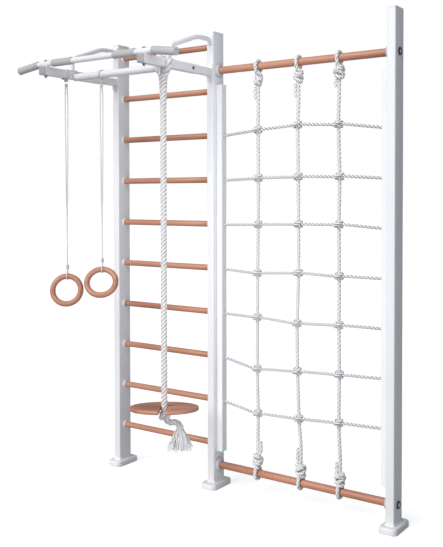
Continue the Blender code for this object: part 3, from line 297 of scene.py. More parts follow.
def even(points, step):
    """The same route with points an even step apart."""
    points = [Vector(p) for p in points]
    lengths = [(b - a).length for a, b in zip(points, points[1:])]
    count = max(2, round(sum(lengths) / step))
    spacing = sum(lengths) / count
    route, gone, k = [points[0]], 0.0, 0
    for i in range(1, count):
        while k < len(lengths) - 1 and gone + lengths[k] < i * spacing:
            gone += lengths[k]
            k += 1
        route.append(points[k].lerp(points[k + 1], (i * spacing - gone) / lengths[k]))
    return route + [points[-1]]


def route_length(points):
    return sum(dist(a, b) for a, b in zip(points, points[1:]))


# %% Tubes along a route
def computed(holder):
    """The mesh that an object's curve or modifiers make."""
    bpy.context.view_layer.update()
    return bpy.data.meshes.new_from_object(holder.evaluated_get(bpy.context.evaluated_depsgraph_get()))


def lay_spline(curve, points, cyclic):
    """Lay a curve through points and return the curve's own points."""
    spline = curve.splines.new("POLY")
    spline.points.add(len(points) - 1)
    spline.use_cyclic_u = cyclic
    for target, point in zip(spline.points, points):
        target.co = (*point, 1)
    return spline.points


def sweep(bm, points, diameter, section=None, turn=None, swell=None, cyclic=False, resolution=6):
    """Add a tube along a route: round, or with a section outline that turns once in a length."""
    curve = bpy.data.curves.new("route", "CURVE")
    curve.dimensions = "3D"
    curve.use_fill_caps = not cyclic
    curve.bevel_depth = diameter / 2
    curve.bevel_resolution = resolution
    helpers = [placed("route", curve)]
    if section:
        outline = bpy.data.curves.new("section", "CURVE")
        lay_spline(outline, [(x * diameter / 2, y * diameter / 2, 0) for x, y in section], True)
        helpers.append(placed("section", outline))
        curve.bevel_mode = "OBJECT"
        curve.bevel_object = helpers[1]
    gone = 0.0
    for i, target in enumerate(lay_spline(curve, points, cyclic)):
        gone += dist(points[i], points[max(i - 1, 0)])
        target.radius = swell[i] if swell else 1
        target.tilt = tau * gone / turn if turn else 0
    mesh = computed(helpers[0])
    bm.from_mesh(mesh)
    bpy.data.meshes.remove(mesh)
    for helper in helpers:
        bpy.data.objects.remove(helper, do_unlink=True)


# %% [markdown]
# ## Rope
# A laid rope is three strands twisted round each other, so its outline is three overlapping
# circles that turn as they go. That outline, swept along a route with a steady tilt, gives the
# slanting grooves that catch the light, with no picture or bump map needed.

# %% The section of a laid rope
CREST = 0.7  # share of a groove's depth that lies inside the rope's mean radius


def laid_section(strands=3, groove=0.33, points_each=6):
    """One turn of a rope's outline, as shares of its radius, which the strands' crests pass."""
    outline = []
    for i in range(strands * points_each):
        angle = tau * i / (strands * points_each)
        radius = 1 + groove * (abs(cos(strands * angle / 2)) - CREST)
        outline.append((radius * cos(angle), radius * sin(angle)))
    return outline


# %% Laying a rope
LAY = 3.5  # length of one full turn of the strands, in rope diameters


def lay_rope(bm, points, diameter, turn=None, strands=3, groove=0.33, points_each=6, swell=None,
             cyclic=False, shade=1.0):
    """Add a laid rope along evenly spaced points, and note on each vertex how deep it lies."""
    section = laid_section(strands, groove, points_each)
    layers = bm.verts.layers.float
    layer = layers.get("groove") or layers.new("groove")
    before = len(bm.verts)
    sweep(bm, points, diameter, section, turn or LAY * diameter, swell, cyclic)
    bm.verts.ensure_lookup_table()
    depths = [shade * (1 - abs(cos(pi * i / points_each))) for i in range(len(section))]
    for i in range(before, len(bm.verts)):
        bm.verts[i][layer] = depths[(i - before) % len(section)]


# %% [markdown]
# ## Materials
# Every finish is made from nodes on Object coordinates, which are metres here, so a scale of 300
# means marks about three millimetres apart. One noise can give tone, gloss and bump together.

# %% Finish helpers
MIX_INPUTS = (0, 6, 7)  # a colour Mix node's share and its two colours


def finish_of(name, colour, roughness, **sockets):
    """A material with its main shader, and that shader."""
    material = bpy.data.materials.new(name)
    material.use_nodes = True
    shader = material.node_tree.nodes["Principled BSDF"]
    fill(shader, Base_Color=(*colour, 1), Roughness=roughness, **sockets)
    return material, shader


def metres(shader):
    return node(shader, "TexCoord").outputs["Object"]


def noise(shader, scale, detail, place=None, **more):
    place = place or metres(shader)
    return node(shader, "TexNoise", Vector=place, Scale=scale, Detail=detail, **more).outputs["Fac"]


def bump(height, strength, distance):
    return node(height, "Bump", Strength=strength, Distance=distance, Height=height).outputs["Normal"]


def maths(operation, *values):
    made = node(values[0], "Math", {"operation": operation})
    for socket, value in zip(made.inputs, values):
        plug(socket, value)
    return made.outputs["Value"]


def multiplied(share, colour, other):
    made = node(colour, "Mix", {"data_type": "RGBA", "blend_type": "MULTIPLY"})
    for index, value in zip(MIX_INPUTS, (share, colour, other)):
        plug(made.inputs[index], value)
    return made.outputs[2]


def ramp(fac, stops):
    """A colour ramp through (position, colour) stops."""
    made = node(fac, "ValToRGB", Fac=fac)
    elements = made.color_ramp.elements
    for i, (position, colour) in enumerate(stops):
        stop = elements[i] if i < 2 else elements.new(position)
        stop.position = position
        stop.color = (*colour, 1)
    return made.outputs["Color"]


def mottled(fac, colour, dark, low=0.3, high=0.7):
    """A colour that sinks to a share of itself where a noise is low."""
    return ramp(fac, [(low, [c * dark for c in colour]), (high, colour)])


# %% [markdown]
# ### Powder coat
# Powder is baked on, so it flows into a faint orange peel: a wide soft bump under a satin gloss.
# A slow change of tone, a percent or two, keeps long white posts from looking like paper.

# %% White coat and moulded white plastic
def white_coat(name, colour, roughness, peel):
    """A white finish whose peel is finer the larger its number is."""
    material, shader = finish_of(name, colour, roughness, Specular_IOR_Level=0.35)
    drift = noise(shader, 2.3, 2.0)
    wear = node(shader, "MapRange", Value=drift, To_Min=roughness - 0.04, To_Max=roughness + 0.05)
    fill(shader, Base_Color=mottled(drift, colour, 0.965), Roughness=wear.outputs["Result"],
         Normal=bump(noise(shader, peel, 2.0), 0.08, 0.0006))
    return material


coat = white_coat("white_powder_coat", (0.84, 0.85, 0.88), 0.55, 380)
rail_coat = white_coat("white_rail_coat", (0.86, 0.87, 0.9), 0.42, 380)
moulded = white_coat("white_moulded_plastic", (0.83, 0.84, 0.86), 0.45, 1400)
# Painted shade: the cups' white plastic is toned down to a mid grey, which stands in for the shade
# round their steep sides.
cup_white_painted_shade = white_coat("white_flange_plastic_painted_shade", (0.57, 0.58, 0.605), 0.3, 900)

# %% [markdown]
# ### Beech
# Steamed beech is a warm pink brown with quiet, nearly straight grain and short darker flecks.
# The noise is squeezed across the grain and stretched along it. A fleck is the same idea again,
# finer, with only its peaks kept.

# %% Beech
BEECH_LIGHT = (0.56, 0.275, 0.187)
BEECH_MID = (0.5, 0.223, 0.143)
BEECH_DARK = (0.39, 0.151, 0.092)
FLECK_TINT = (0.55, 0.38, 0.3, 1)
GRAIN = (5.0, 120.0, 120.0)  # marks in a metre, along the grain and across it
BOARD = (1.2, 14.0, 14.0)
FLECKS = (60.0, 900.0, 900.0)
GRAIN_SHARE = 0.55
FLECK_SHARE = 0.45


def beech(name, turn=(0, 0, 0), centre=(0, 0, 0)):
    """Beech whose grain runs along X, after a turn about a centre."""
    material, shader = finish_of(name, BEECH_MID, 0.48, Coat_Weight=0.12, Coat_Roughness=0.3)
    moved = node(shader, "Mapping", {"vector_type": "TEXTURE"}, Vector=metres(shader),
                 Location=centre, Rotation=turn).outputs["Vector"]
    places = [node(shader, "Mapping", Vector=moved, Scale=scale).outputs["Vector"]
              for scale in (GRAIN, BOARD, FLECKS)]
    grain = noise(shader, 1.0, 5.0, places[0], Roughness=0.62, Distortion=0.35)
    board = noise(shader, 1.0, 2.0, places[1])
    fleck = noise(shader, 1.0, 1.0, places[2])
    wood = ramp(maths("MULTIPLY_ADD", grain, GRAIN_SHARE, board),
                [(0.55, BEECH_DARK), (1.0, BEECH_LIGHT), (0.76, BEECH_MID)])
    marks = ramp(fleck, [(0.6, (0, 0, 0)), (0.72, (1, 1, 1))])
    share = maths("MULTIPLY", marks, FLECK_SHARE)
    fill(shader, Base_Color=multiplied(share, wood, FLECK_TINT), Normal=bump(grain, 0.12, 0.0004))
    return material


bar_beech = beech("beech_bars")

# %% [markdown]
# ### Rope, rubber, plastic and steel
# The rope's yarn is far finer than a pixel, so it is a bump and a slight change of tone. Light
# hardly gets into the grooves between strands, so the finish reads how deep each vertex lies and
# darkens the deep ones. Foam grips are matt with open pores. Caps and bolt heads are small and
# dark, and catch one highlight.

# %% Rope
def rope_white(name, colour=(0.78, 0.785, 0.8), deep_shade=(0.2, 0.21, 0.25)):
    material, shader = finish_of(name, colour, 0.85, Specular_IOR_Level=0.25, Subsurface_Weight=0.7,
                                 Subsurface_Radius=(1, 1, 1), Subsurface_Scale=0.006)
    yarn = noise(shader, 900.0, 3.0, Roughness=0.7)
    deep = node(shader, "Attribute", {"attribute_name": "groove"}).outputs["Fac"]
    shade = ramp(deep, [(0.42, (1, 1, 1)), (1.0, deep_shade)])
    tone = mottled(yarn, colour, 0.9, 0.35, 0.62)
    fill(shader, Base_Color=multiplied(1.0, tone, shade), Normal=bump(yarn, 0.5, 0.0008))
    return material


rope_finish = rope_white("white_rope")
cord_finish = rope_white("white_cord", (0.78, 0.78, 0.79))
thick_rope_finish = rope_white("white_climbing_rope", (0.8, 0.8, 0.81), (0.5, 0.51, 0.53))
yarn_finish = rope_white("white_yarn", (0.95, 0.95, 0.96), (0.6, 0.61, 0.63))

# %% Foam
FOAM_GREY = (0.5, 0.505, 0.52)

grip_finish, shader = finish_of("grey_foam", FOAM_GREY, 0.86)
pores = node(shader, "TexVoronoi", Vector=metres(shader), Scale=650.0).outputs["Distance"]
fill(shader, Base_Color=mottled(pores, FOAM_GREY, 0.75, 0.0, 0.5), Normal=bump(pores, 0.35, 0.0008))

# %% Plastic and steel
def dark_part(name, colour, roughness, metallic=0.0):
    material, shader = finish_of(name, colour, roughness, Metallic=metallic)
    grain = noise(shader, 1300.0, 2.0)
    fill(shader, Base_Color=mottled(grain, colour, 0.8), Normal=bump(grain, 0.15, 0.0003))
    return material


plug_finish = dark_part("dark_grey_plastic", (0.4, 0.41, 0.425), 0.5)
black_finish = dark_part("black_plastic", (0.018, 0.018, 0.02), 0.28)
steel_finish = dark_part("dark_steel", (0.17, 0.17, 0.18), 0.35, 0.9)
zinc_finish = dark_part("bright_zinc", (0.86, 0.86, 0.9), 0.38, 0.75)
print("finishes:", len(bpy.data.materials))

# %% [markdown]
# ## The climbing rope
# The longest rope comes first, with its seat knot and its frayed end, because a free rope must keep
# its real length. It hangs from an eye round the right arm, passes through the seat, makes a knot
# that the seat rests on, and its tail turns aside and frays out.

# %% Sizes that the ropes share
LEFT_X = -0.625
RIGHT_X = 0.952
FIT = 0.0003  # gap between pieces that touch
ARM_HEIGHT = 2.065
ARM_SIZE = 0.04
ARM_CORNER = 0.004
ARM_UNDER = ARM_HEIGHT - ARM_SIZE / 2
FACING = radians(35)  # the way the rings and the seat have turned
TOWARDS_ROOM = Vector((sin(FACING), -cos(FACING), 0))
ACROSS = Vector((cos(FACING), sin(FACING), 0))

CLIMBING_ROPE = 0.028
ROPE_PLACE = Vector((0, -0.409, 0))
ROPE_TOP = ARM_UNDER - 0.026
HANG = (1.0, 0.72, 0.42, 0.16)  # shares of the way from the seat up to the arm
SEAT_HEIGHT = 0.479
SEAT_TILT = radians(6.5)
SEAT_THICKNESS = 0.019
SEAT_HOLE = CLIMBING_ROPE / 2 + 0.0035
SEAT_KNOT = 0.06
TAIL_REACH = 0.072
TAIL_BEND = ((0.3, 0.415), (0.75, 0.413), (1.0, 0.395), (1.0, 0.367))  # share of reach, height
ROUTE_STEP = 0.006
THICK_LAY = {"turn": 0.075, "strands": 4, "groove": 0.26}

# %% The rope itself
seat_axis = (UP * cos(SEAT_TILT) - TOWARDS_ROOM * sin(SEAT_TILT)).normalized()
seat_place = ROPE_PLACE + UP * SEAT_HEIGHT
knot_drop = SEAT_THICKNESS / 2 + sqrt((SEAT_KNOT / 2 + FIT) ** 2 - SEAT_HOLE ** 2)
knot_place = seat_place - seat_axis * knot_drop
hang = [seat_place + UP * (ROPE_TOP - SEAT_HEIGHT) * share for share in HANG]
tail = [knot_place]
for share, height in TAIL_BEND:
    spot = seat_place + ACROSS * share * TAIL_REACH
    tail.append(Vector((spot.x, spot.y, height)))
through_seat = [seat_place + seat_axis * 0.05, seat_place]
rope_route = even(smooth_route(hang + through_seat + tail, 12), ROUTE_STEP)
rounded = [sqrt(min(1, (i + 0.5) / 3)) for i in range(len(rope_route))]
bm = bmesh.new()
lay_rope(bm, rope_route, CLIMBING_ROPE, swell=rounded, **THICK_LAY)
climbing_rope = show("climbing_rope", bm, thick_rope_finish, "white_rope", "rope")
print("climbing rope:", round(route_length(rope_route), 3), "m")

# %% [markdown]
# Under the arm the rope is thicker, where the ends of its strands are tucked back into it. That
# splice is a sleeve of the same lay, which thins out downwards.

# %% Splice
SPLICE = 26  # steps of the rope's route that the splice covers
SPLICE_WIDTH = 1.42  # in rope diameters, at its top
SPLICE_TAPER = 0.4

sleeve = [rounded[i] * (SPLICE_WIDTH - SPLICE_TAPER * i / SPLICE) for i in range(SPLICE)]
bm = bmesh.new()
lay_rope(bm, rope_route[:SPLICE], CLIMBING_ROPE, swell=sleeve, **THICK_LAY)
splice = show("rope_splice", bm, thick_rope_finish, "white_rope", "rope", extra=True)

# %% [markdown]
# The knot under the seat is a ball of the same rope. A real one is an overhand knot pulled tight,
# which is a trefoil: a closed curve that passes through its own middle three times.

# %% Seat knot
KNOTTED_ROPE = CLIMBING_ROPE * 0.8  # a rope thins when its knot is pulled tight
KNOT_CORE = SEAT_KNOT * 0.36
KNOT_STEPS = 72

turn = UP.rotation_difference(seat_axis).to_matrix()
trefoil = []
for i in range(KNOT_STEPS):
    t = tau * i / KNOT_STEPS
    shape = Vector((sin(t) + 2 * sin(2 * t), cos(t) - 2 * cos(2 * t), -1.5 * sin(3 * t))) / 3
    trefoil.append(knot_place + turn @ (shape * (SEAT_KNOT - KNOTTED_ROPE) / 2))
bm = bmesh.new()
lay_rope(bm, trefoil, KNOTTED_ROPE, turn=0.08, strands=4, groove=0.2, points_each=5, cyclic=True)
bmesh.ops.create_uvsphere(bm, u_segments=16, v_segments=10, radius=KNOT_CORE,
                          matrix=Matrix.Translation(knot_place))
seat_knot = show("seat_knot", bm, yarn_finish, "white_rope", "rope", extra=True)

# %% [markdown]
# The tail is whipped with cord and then left to fray. Each frayed yarn is a thin curve of its own,
# which leaves the whipping and spreads as it falls. The random numbers have a fixed seed, so the
# tassel comes out the same each time.

# %% Frayed tail
YARNS = 190
YARN_DIAMETER = 0.0042
YARN_SWELL = [1, 1, 1, 1, 0.9, 0.8, 0.5]
TASSEL_TOP = 0.402
TASSEL_ROOT = TASSEL_TOP - 0.016  # where the yarns start, inside the whipping
TASSEL_BOTTOM = 0.278
TASSEL_RADIUS = 0.066
ROOT_RADIUS = 0.012
RAGGED = 0.03  # how much shorter an outer yarn may be
SWAY = 0.004

yarn_ways = random.Random(7)
tail_place = Vector((tail[-1].x, tail[-1].y, 0))
bm = bmesh.new()
for k in range(YARNS):
    way = yarn_ways.uniform(0, tau)
    spread = sqrt(yarn_ways.random())
    wave = yarn_ways.uniform(-1, 1)
    side = Vector((cos(way), sin(way), 0))
    end = TASSEL_BOTTOM + 0.004 + RAGGED * yarn_ways.random() * spread
    points = []
    for i in range(len(YARN_SWELL)):
        t = i / (len(YARN_SWELL) - 1)
        out_by = ROOT_RADIUS * spread + (TASSEL_RADIUS - 0.016) * spread * t ** 0.9
        sway = SWAY * wave * sin(5 * t + 3 * wave)
        points.append(tail_place + side * (out_by + sway) + side.cross(UP) * sway
                      + UP * (TASSEL_ROOT + (end - TASSEL_ROOT) * t))
    sweep(bm, points, YARN_DIAMETER, resolution=1, swell=YARN_SWELL)
tassel = show("rope_tassel", bm, yarn_finish, "white_rope", "rope", extra=True)

# %% Whipping
WHIPPING = (0.0152, 5.92, 0.0028, 12)  # radius, turns, pitch, points in a turn


def helix(top, radius, turns, pitch, count):
    """Points that wind down round an upright line."""
    angles = [tau * i / count for i in range(round(turns * count) + 1)]
    return [top + Vector((radius * cos(a), radius * sin(a), -pitch * a / tau)) for a in angles]


bm = bmesh.new()
sweep(bm, helix(tail_place + UP * (TASSEL_TOP - 0.004), *WHIPPING), 0.0032, resolution=2)
whipping_piece = show("tassel_whipping", bm, yarn_finish, "white_rope", "rope", extra=True)

# %% [markdown]
# ## The ring cords
# Each ring hangs in a loop of doubled cord. One cord goes down, under the ring's tube and up again,
# with a small knot close to the ring and another at the top, where it swings.

# %% Ring places
RING_DIAMETER = 0.168
RING_TUBE = 0.028
RING_CORD = 0.006
CORD_KNOT = 0.018
CORD_DROP = 0.022
SPREAD = 0.0065  # from a doubled cord's middle to its strands, and at its ends
CLOSE = 0.0036
LOWER_KNOT_RISE = 0.046
HITCH_GAP = RING_CORD / 2 + FIT
CROSSBAR_Y = 0.367
CROSSBAR_HEIGHT = 2.052
CROSSBAR_DIAMETER = 0.036
CROSSBAR_UNDER = CROSSBAR_HEIGHT - CROSSBAR_DIAMETER / 2
PIVOTS = {
    "left": Vector((LEFT_X + 0.007, -0.414, ARM_UNDER - HITCH_GAP - CORD_DROP)),
    "right": Vector((-0.424, -CROSSBAR_Y, CROSSBAR_UNDER - HITCH_GAP - CORD_DROP)),
}
EYES = {side: Vector((PIVOTS[side].x, PIVOTS[side].y, top))  # where a cord meets its ring
        for side, top in (("left", 1.055), ("right", 1.096))}
RING_TILTS = {"left": radians(17), "right": radians(32)}

# %% Cord and knots
def lay_cord(bm, points, swell=None, cyclic=False):
    sweep(bm, points, RING_CORD, laid_section(3, 0.2, 4), 3 * RING_CORD, swell, cyclic)


def wound_knot(bm, centre, radius, turns, height):
    """A few tight turns of cord round an upright line."""
    points = helix(centre + UP * height / 2, radius, turns, height / turns, 14)
    last = len(points) - 1
    lay_cord(bm, points, [min(1, 0.4 + min(i, last - i) * 0.2) for i in range(last + 1)])


# %% The two cords
TOP_KNOT = (0.0052, 2.5, 0.011)  # radius, turns, height
LOWER_KNOT = (0.0066, 3.5, 0.02)
TOP_KNOT_DROP = 0.012

wrap = (RING_TUBE + RING_CORD) / 2 + FIT
for side, pivot in PIVOTS.items():
    eye = EYES[side]
    lower = eye + UP * LOWER_KNOT_RISE
    strand = [pivot - UP * RING_CORD / 3 + ACROSS * CLOSE, pivot - UP * CORD_KNOT + ACROSS * CLOSE]
    drop = pivot.z - CORD_KNOT - lower.z
    for share in (0.08, 0.36, 0.64, 0.92):
        turn = Matrix.Rotation(-pi / 2 * share, 3, "Z")
        strand.append(pivot - UP * (CORD_KNOT + drop * share) + turn @ ACROSS * SPREAD)
    strand += [lower + TOWARDS_ROOM * CLOSE, eye + UP * wrap * 1.3 + TOWARDS_ROOM * 0.66 * wrap]
    strand += [eye + TOWARDS_ROOM * wrap * cos(a) - UP * wrap * sin(a)
               for a in (radians(15 * i) for i in range(-2, 6))]
    mirror = [Vector((2 * eye.x - p.x, 2 * eye.y - p.y, p.z)) for p in reversed(strand)]
    route = even(smooth_route(strand + [eye - UP * wrap] + mirror, 5), 0.004)
    body = f"ring_{side}_cords"
    bm = bmesh.new()
    lay_cord(bm, route)
    cord = show(f"ring_cord_{side}", bm, cord_finish, "white_rope", body)
    bm = bmesh.new()
    wound_knot(bm, pivot - UP * TOP_KNOT_DROP, *TOP_KNOT)
    wound_knot(bm, lower, *LOWER_KNOT)
    knots = show(f"ring_cord_knots_{side}", bm, cord_finish, "white_rope", body, extra=True)
    print(f"ring cord {side}: {route_length(route):.3f} m")

# %% [markdown]
# ## The wooden rings
# A gym ring is glued up from beech strips bent round, so its grain follows the hoop. A circle spun
# about the ring's own axis makes it, and the same grain noise is laid on it flat.

# %% Rings
middle = (RING_DIAMETER - RING_TUBE) / 2
upright = Matrix.Rotation(pi / 2, 3, "Y")
for side, eye in EYES.items():
    place = (Matrix.Translation(eye) @ Matrix.Rotation(FACING, 4, "Z")
             @ Matrix.Rotation(-RING_TILTS[side], 4, "X"))
    bm = bmesh.new()
    circle = bmesh.ops.create_circle(bm, segments=24, radius=RING_TUBE / 2)
    bmesh.ops.rotate(bm, cent=(0, 0, 0), matrix=upright, verts=circle["verts"])
    bmesh.ops.spin(bm, geom=bm.verts[:] + bm.edges[:], cent=(0, 0, -middle), axis=(0, 1, 0),
                   angle=tau, steps=72, use_merge=True)
    bmesh.ops.transform(bm, matrix=place, verts=bm.verts)
    wood = beech(f"beech_ring_{side}", turn=(0, 0, FACING), centre=eye)
    show(f"ring_{side}", bm, wood, "beech", f"ring_{side}_hoop")

# %% [markdown]
# ## Hitches
# Cords are tied round the square arm and round the crossbar. Each turn follows the tube's section,
# so it is the section's outline, grown by half the cord and the gap that touching pieces keep.

# %% Turns of cord round the arm and the crossbar
HITCH_BESIDE = 0.0034  # half the distance between a hitch's two turns
HITCH_KNOT_RISE = 0.014  # of the knot above the cord's pivot


def square_turn(centre, half, corner, steps=6):
    """Points round a square section that a tube along Y has."""
    points = []
    for x, z, start in ((1, 1, 0), (-1, 1, 90), (-1, -1, 180), (1, -1, 270)):
        for i in range(steps + 1):
            angle = radians(start + 90 * i / steps)
            points.append(centre + Vector((x * (half - corner) + corner * cos(angle), 0,
                                           z * (half - corner) + corner * sin(angle))))
    return points


def hitch(side, turn, along, radius, height):
    """Two turns side by side along a tube, with a small knot under them."""
    bm = bmesh.new()
    for shift in (-HITCH_BESIDE, HITCH_BESIDE):
        lay_cord(bm, [p + Vector(along) * shift for p in turn], cyclic=True)
    wound_knot(bm, PIVOTS[side] + UP * HITCH_KNOT_RISE, radius, 3, height)
    show("ring_hitch_" + side, bm, cord_finish, "white_rope")


left_arm = Vector((LEFT_X, PIVOTS["left"].y, ARM_HEIGHT))
loop = square_turn(left_arm, ARM_SIZE / 2 + HITCH_GAP, ARM_CORNER + HITCH_GAP)
hitch("left", even(loop + loop[:1], 0.004)[:-1], (0, 1, 0), 0.0075, 0.013)

cross_centre = Vector((PIVOTS["right"].x, -CROSSBAR_Y, CROSSBAR_HEIGHT))
radius = CROSSBAR_DIAMETER / 2 + HITCH_GAP
loop = [cross_centre + Vector((0, radius * sin(a), radius * cos(a)))
        for a in (tau * i / 40 for i in range(40))]
hitch("right", loop, ALONG_X, 0.007, 0.012)

# %% [markdown]
# The climbing rope ends in an eye that is spliced round the arm. Its two legs run down the arm's
# sides and meet just below it, where the splice starts, so the loop is one route from leg to leg.

# %% The climbing rope's eye
EYE_ROPE = 0.026
LEG = ((0.023, -0.02), (0.013, -0.036), (0.009, -0.046))  # out from the middle, below the arm

right_arm = Vector((0, ROPE_PLACE.y, ARM_HEIGHT))
half = ARM_SIZE / 2 + EYE_ROPE / 2 + FIT
loop = square_turn(right_arm, half, ARM_CORNER + EYE_ROPE / 2)
over = [p for p in loop if p.z > ARM_HEIGHT + half * 0.4]
first, last = ([Vector((way * x, ROPE_PLACE.y, ARM_UNDER + z))
                for x, z in ((half, 0.006), (half - 0.002, -0.004), *LEG)] for way in (1, -1))
bm = bmesh.new()
lay_rope(bm, even(smooth_route(first[::-1] + over + last, 4), 0.003), EYE_ROPE)
show("rope_hitch", bm, thick_rope_finish, "white_rope")

# %% [markdown]
# ## The seat
# A round board, sanded to a soft edge, with a slot so that it can be hooked on to the rope. It is
# turned on the lathe helper, then a long rounded block is cut out with a Boolean modifier that is
# applied straight away.

# %% Seat
SEAT_DIAMETER = 0.32
SEAT_ROUNDING = 0.007

lean = UP.rotation_difference(seat_axis).to_matrix().to_4x4()
seat_frame = Matrix.Translation(seat_place) @ lean @ Matrix.Rotation(FACING, 4, "Z")
half = SEAT_THICKNESS / 2
bm = bmesh.new()
lathe(bm, eased(SEAT_DIAMETER / 2, -half, half, SEAT_ROUNDING, 6), steps=128)
bmesh.ops.transform(bm, matrix=seat_frame, verts=bm.verts)
seat_wood = beech("beech_seat", turn=(0, 0, FACING), centre=seat_place)
seat = show("seat", bm, seat_wood, "beech", "seat")

# %% The seat's slot
reach = SEAT_DIAMETER / 2 + SEAT_HOLE
bm = bmesh.new()
block(bm, (2 * SEAT_HOLE, reach + SEAT_HOLE, 4 * SEAT_THICKNESS),
      (0, (SEAT_HOLE - reach) / 2, 0), SEAT_HOLE * 0.98, 2, 0)
bmesh.ops.transform(bm, matrix=seat_frame, verts=bm.verts)
bmesh.ops.recalc_face_normals(bm, faces=bm.faces)
slot_tool = placed("slot", mesh_of(bm, "slot"))
cut = seat.modifiers.new("slot", "BOOLEAN")
cut.operation = "DIFFERENCE"
cut.solver = "EXACT"
cut.object = slot_tool
slotted = computed(seat)
seat.modifiers.clear()
seat.data = slotted
bpy.data.objects.remove(slot_tool, do_unlink=True)
print("seat faces:", len(seat.data.polygons))

# %% [markdown]
# ## The rope net
# Three upright ropes are knotted to both bars, and seven cross ropes are tied to each of them
# with a clove hitch. The ropes were pulled tight by hand, so no crossing is quite level: the small
# lists give each crossing's place, and a loop lays the ropes through them.

# %% Where the ropes cross
TOP_BAR = 2.077
BOTTOM_BAR = 0.112
BAR_DIAMETER = 0.036
NET_ROWS = 7
NET_PITCH = 0.22
UPRIGHT_X = (  # of each upright rope: at the top bar, at each row, at the bottom bar
    (0.253, 0.252, 0.254, 0.252, 0.249, 0.248, 0.247, 0.251, 0.25),
    (0.475, 0.47, 0.473, 0.475, 0.475, 0.468, 0.47, 0.478, 0.488),
    (0.684, 0.681, 0.687, 0.684, 0.686, 0.685, 0.687, 0.685, 0.692),
)
CROSSING_LIFT = (  # of each crossing above its row's own height
    (0.019, 0.008, 0.005, -0.01, -0.003, -0.034, -0.03),
    (0.033, 0.012, 0.01, 0.003, -0.014, -0.019, -0.021),
    (0.025, 0.01, 0.013, -0.001, -0.003, -0.008, -0.008),
)
ROW_HEIGHTS = [(TOP_BAR + BOTTOM_BAR) / 2 + (NET_ROWS // 2 - i) * NET_PITCH for i in range(NET_ROWS)]


def crossing(column, row):
    return Vector((UPRIGHT_X[column][row + 1], 0, ROW_HEIGHTS[row] + CROSSING_LIFT[column][row]))


# %% The knot round a bar
UPRIGHT_ROPE = 0.0165
KNOT_START = 0.036  # from a bar's axis to its knot's first turn
KNOT_PITCH = 0.0155
KNOT_TURNS = 3.25
LOOP_STEPS = 14
TURN_STEPS = 18


def knotted_end(x, bar, away, coil, tail_length, way=-1):
    """From the standing rope round a bar, through the knot's turns, to the tail on one side."""
    def at(beside, behind, along):
        return Vector((x + way * beside, behind, bar + away * along))

    loop = BAR_DIAMETER / 2 + UPRIGHT_ROPE / 2 + FIT
    points = [at(0, 0, KNOT_START + 0.012), at(0, 0.4 * loop, KNOT_START - 0.006),
              at(0, 0.8 * loop, 0.62 * loop)]
    points += [at(0, loop * cos(a), -loop * sin(a))
               for a in (pi * i / LOOP_STEPS for i in range(LOOP_STEPS + 1))]
    points.append(at(0, -0.88 * loop, 0.62 * loop))
    steps = round(KNOT_TURNS * TURN_STEPS)
    for i in range(steps + 1):
        angle = tau * KNOT_TURNS * i / steps
        drop = KNOT_START + KNOT_PITCH * KNOT_TURNS * i / steps
        bulge = 0.2 * sin(pi * i / steps)
        pull = coil * (0.88 + bulge + 0.09 * sin(2.3 * angle + 9 * x))
        slant = 0.0055 * sin(1.35 * angle + 5 * x)
        points.append(at(-pull * sin(angle), -pull * cos(angle), drop) + UP * slant)
    points.append(at(UPRIGHT_ROPE * 0.93, 0, drop + UPRIGHT_ROPE))
    points.append(at(UPRIGHT_ROPE * 0.88, 0.001, drop + tail_length))
    return points


# %% Upright ropes
UPRIGHTS = (  # radius of the knot's turns above and below, tail, side the lower tail lies on
    (0.014, 0.0175, 0.07, 1), (0.0155, 0.018, 0.074, -1), (0.018, 0.0175, 0.044, -1),
)
ROPE_STEP = 0.0041  # from one section of a net rope to the next
UPRIGHT_SHADE = 0.84  # how dark the grooves of an upright rope are

bm = bmesh.new()
for column, (top_coil, low_coil, tail_length, way) in enumerate(UPRIGHTS):
    xs = UPRIGHT_X[column]
    knot_length = KNOT_START + KNOT_PITCH * KNOT_TURNS + tail_length + UPRIGHT_ROPE
    upper = knotted_end(xs[0], TOP_BAR, -1, top_coil, tail_length)
    lower = knotted_end(xs[-1], BOTTOM_BAR, 1, low_coil, tail_length, way)
    middle = [Vector((xs[0], 0, TOP_BAR - knot_length))]
    middle += [crossing(column, row) for row in range(NET_ROWS)]
    middle.append(Vector((xs[-1], 0, BOTTOM_BAR + knot_length)))
    route = even(smooth_route(upper[::-1] + middle + lower, 4), ROPE_STEP)
    lay_rope(bm, route, UPRIGHT_ROPE, shade=UPRIGHT_SHADE)
    print(f"upright rope {column + 1}: {route_length(route):.2f} m")

# %% Cross ropes
POST_WIDTH = 0.04
RAIL_WIDTH = 0.033
RAIL_WALL = 0.002
CROSS_ROPE = 0.0142
CROSS_TURN = 0.06  # length of a full turn of a cross rope's strands
CROSS_SHADE = 1.25
ROPE_BITE = 0.0012  # how far ropes press into each other
WRAP = (UPRIGHT_ROPE + CROSS_ROPE) / 2 - ROPE_BITE
HITCH = (  # a clove hitch: degrees round from the front, height, distance out
    (-75, -0.1, 1.0), (-35, -0.18, 0.98), (0, -0.34, 1.0), (45, -0.62, 1.0), (90, -0.76, 1.0),
    (135, -0.74, 1.0), (180, -0.66, 1.0), (225, -0.7, 1.0), (270, -0.7, 1.02), (315, -0.46, 1.35),
    (360, 0.02, 1.62), (405, 0.48, 1.35), (450, 0.74, 1.02), (495, 0.72, 1.0), (540, 0.66, 1.0),
    (585, 0.7, 1.0), (630, 0.72, 1.0), (675, 0.56, 1.0), (720, 0.34, 1.0), (755, 0.18, 0.98),
    (795, 0.1, 1.0),
)
rail_wall = POST_WIDTH / 2 + FIT + RAIL_WIDTH - RAIL_WALL  # from a post's middle to its rail's wall
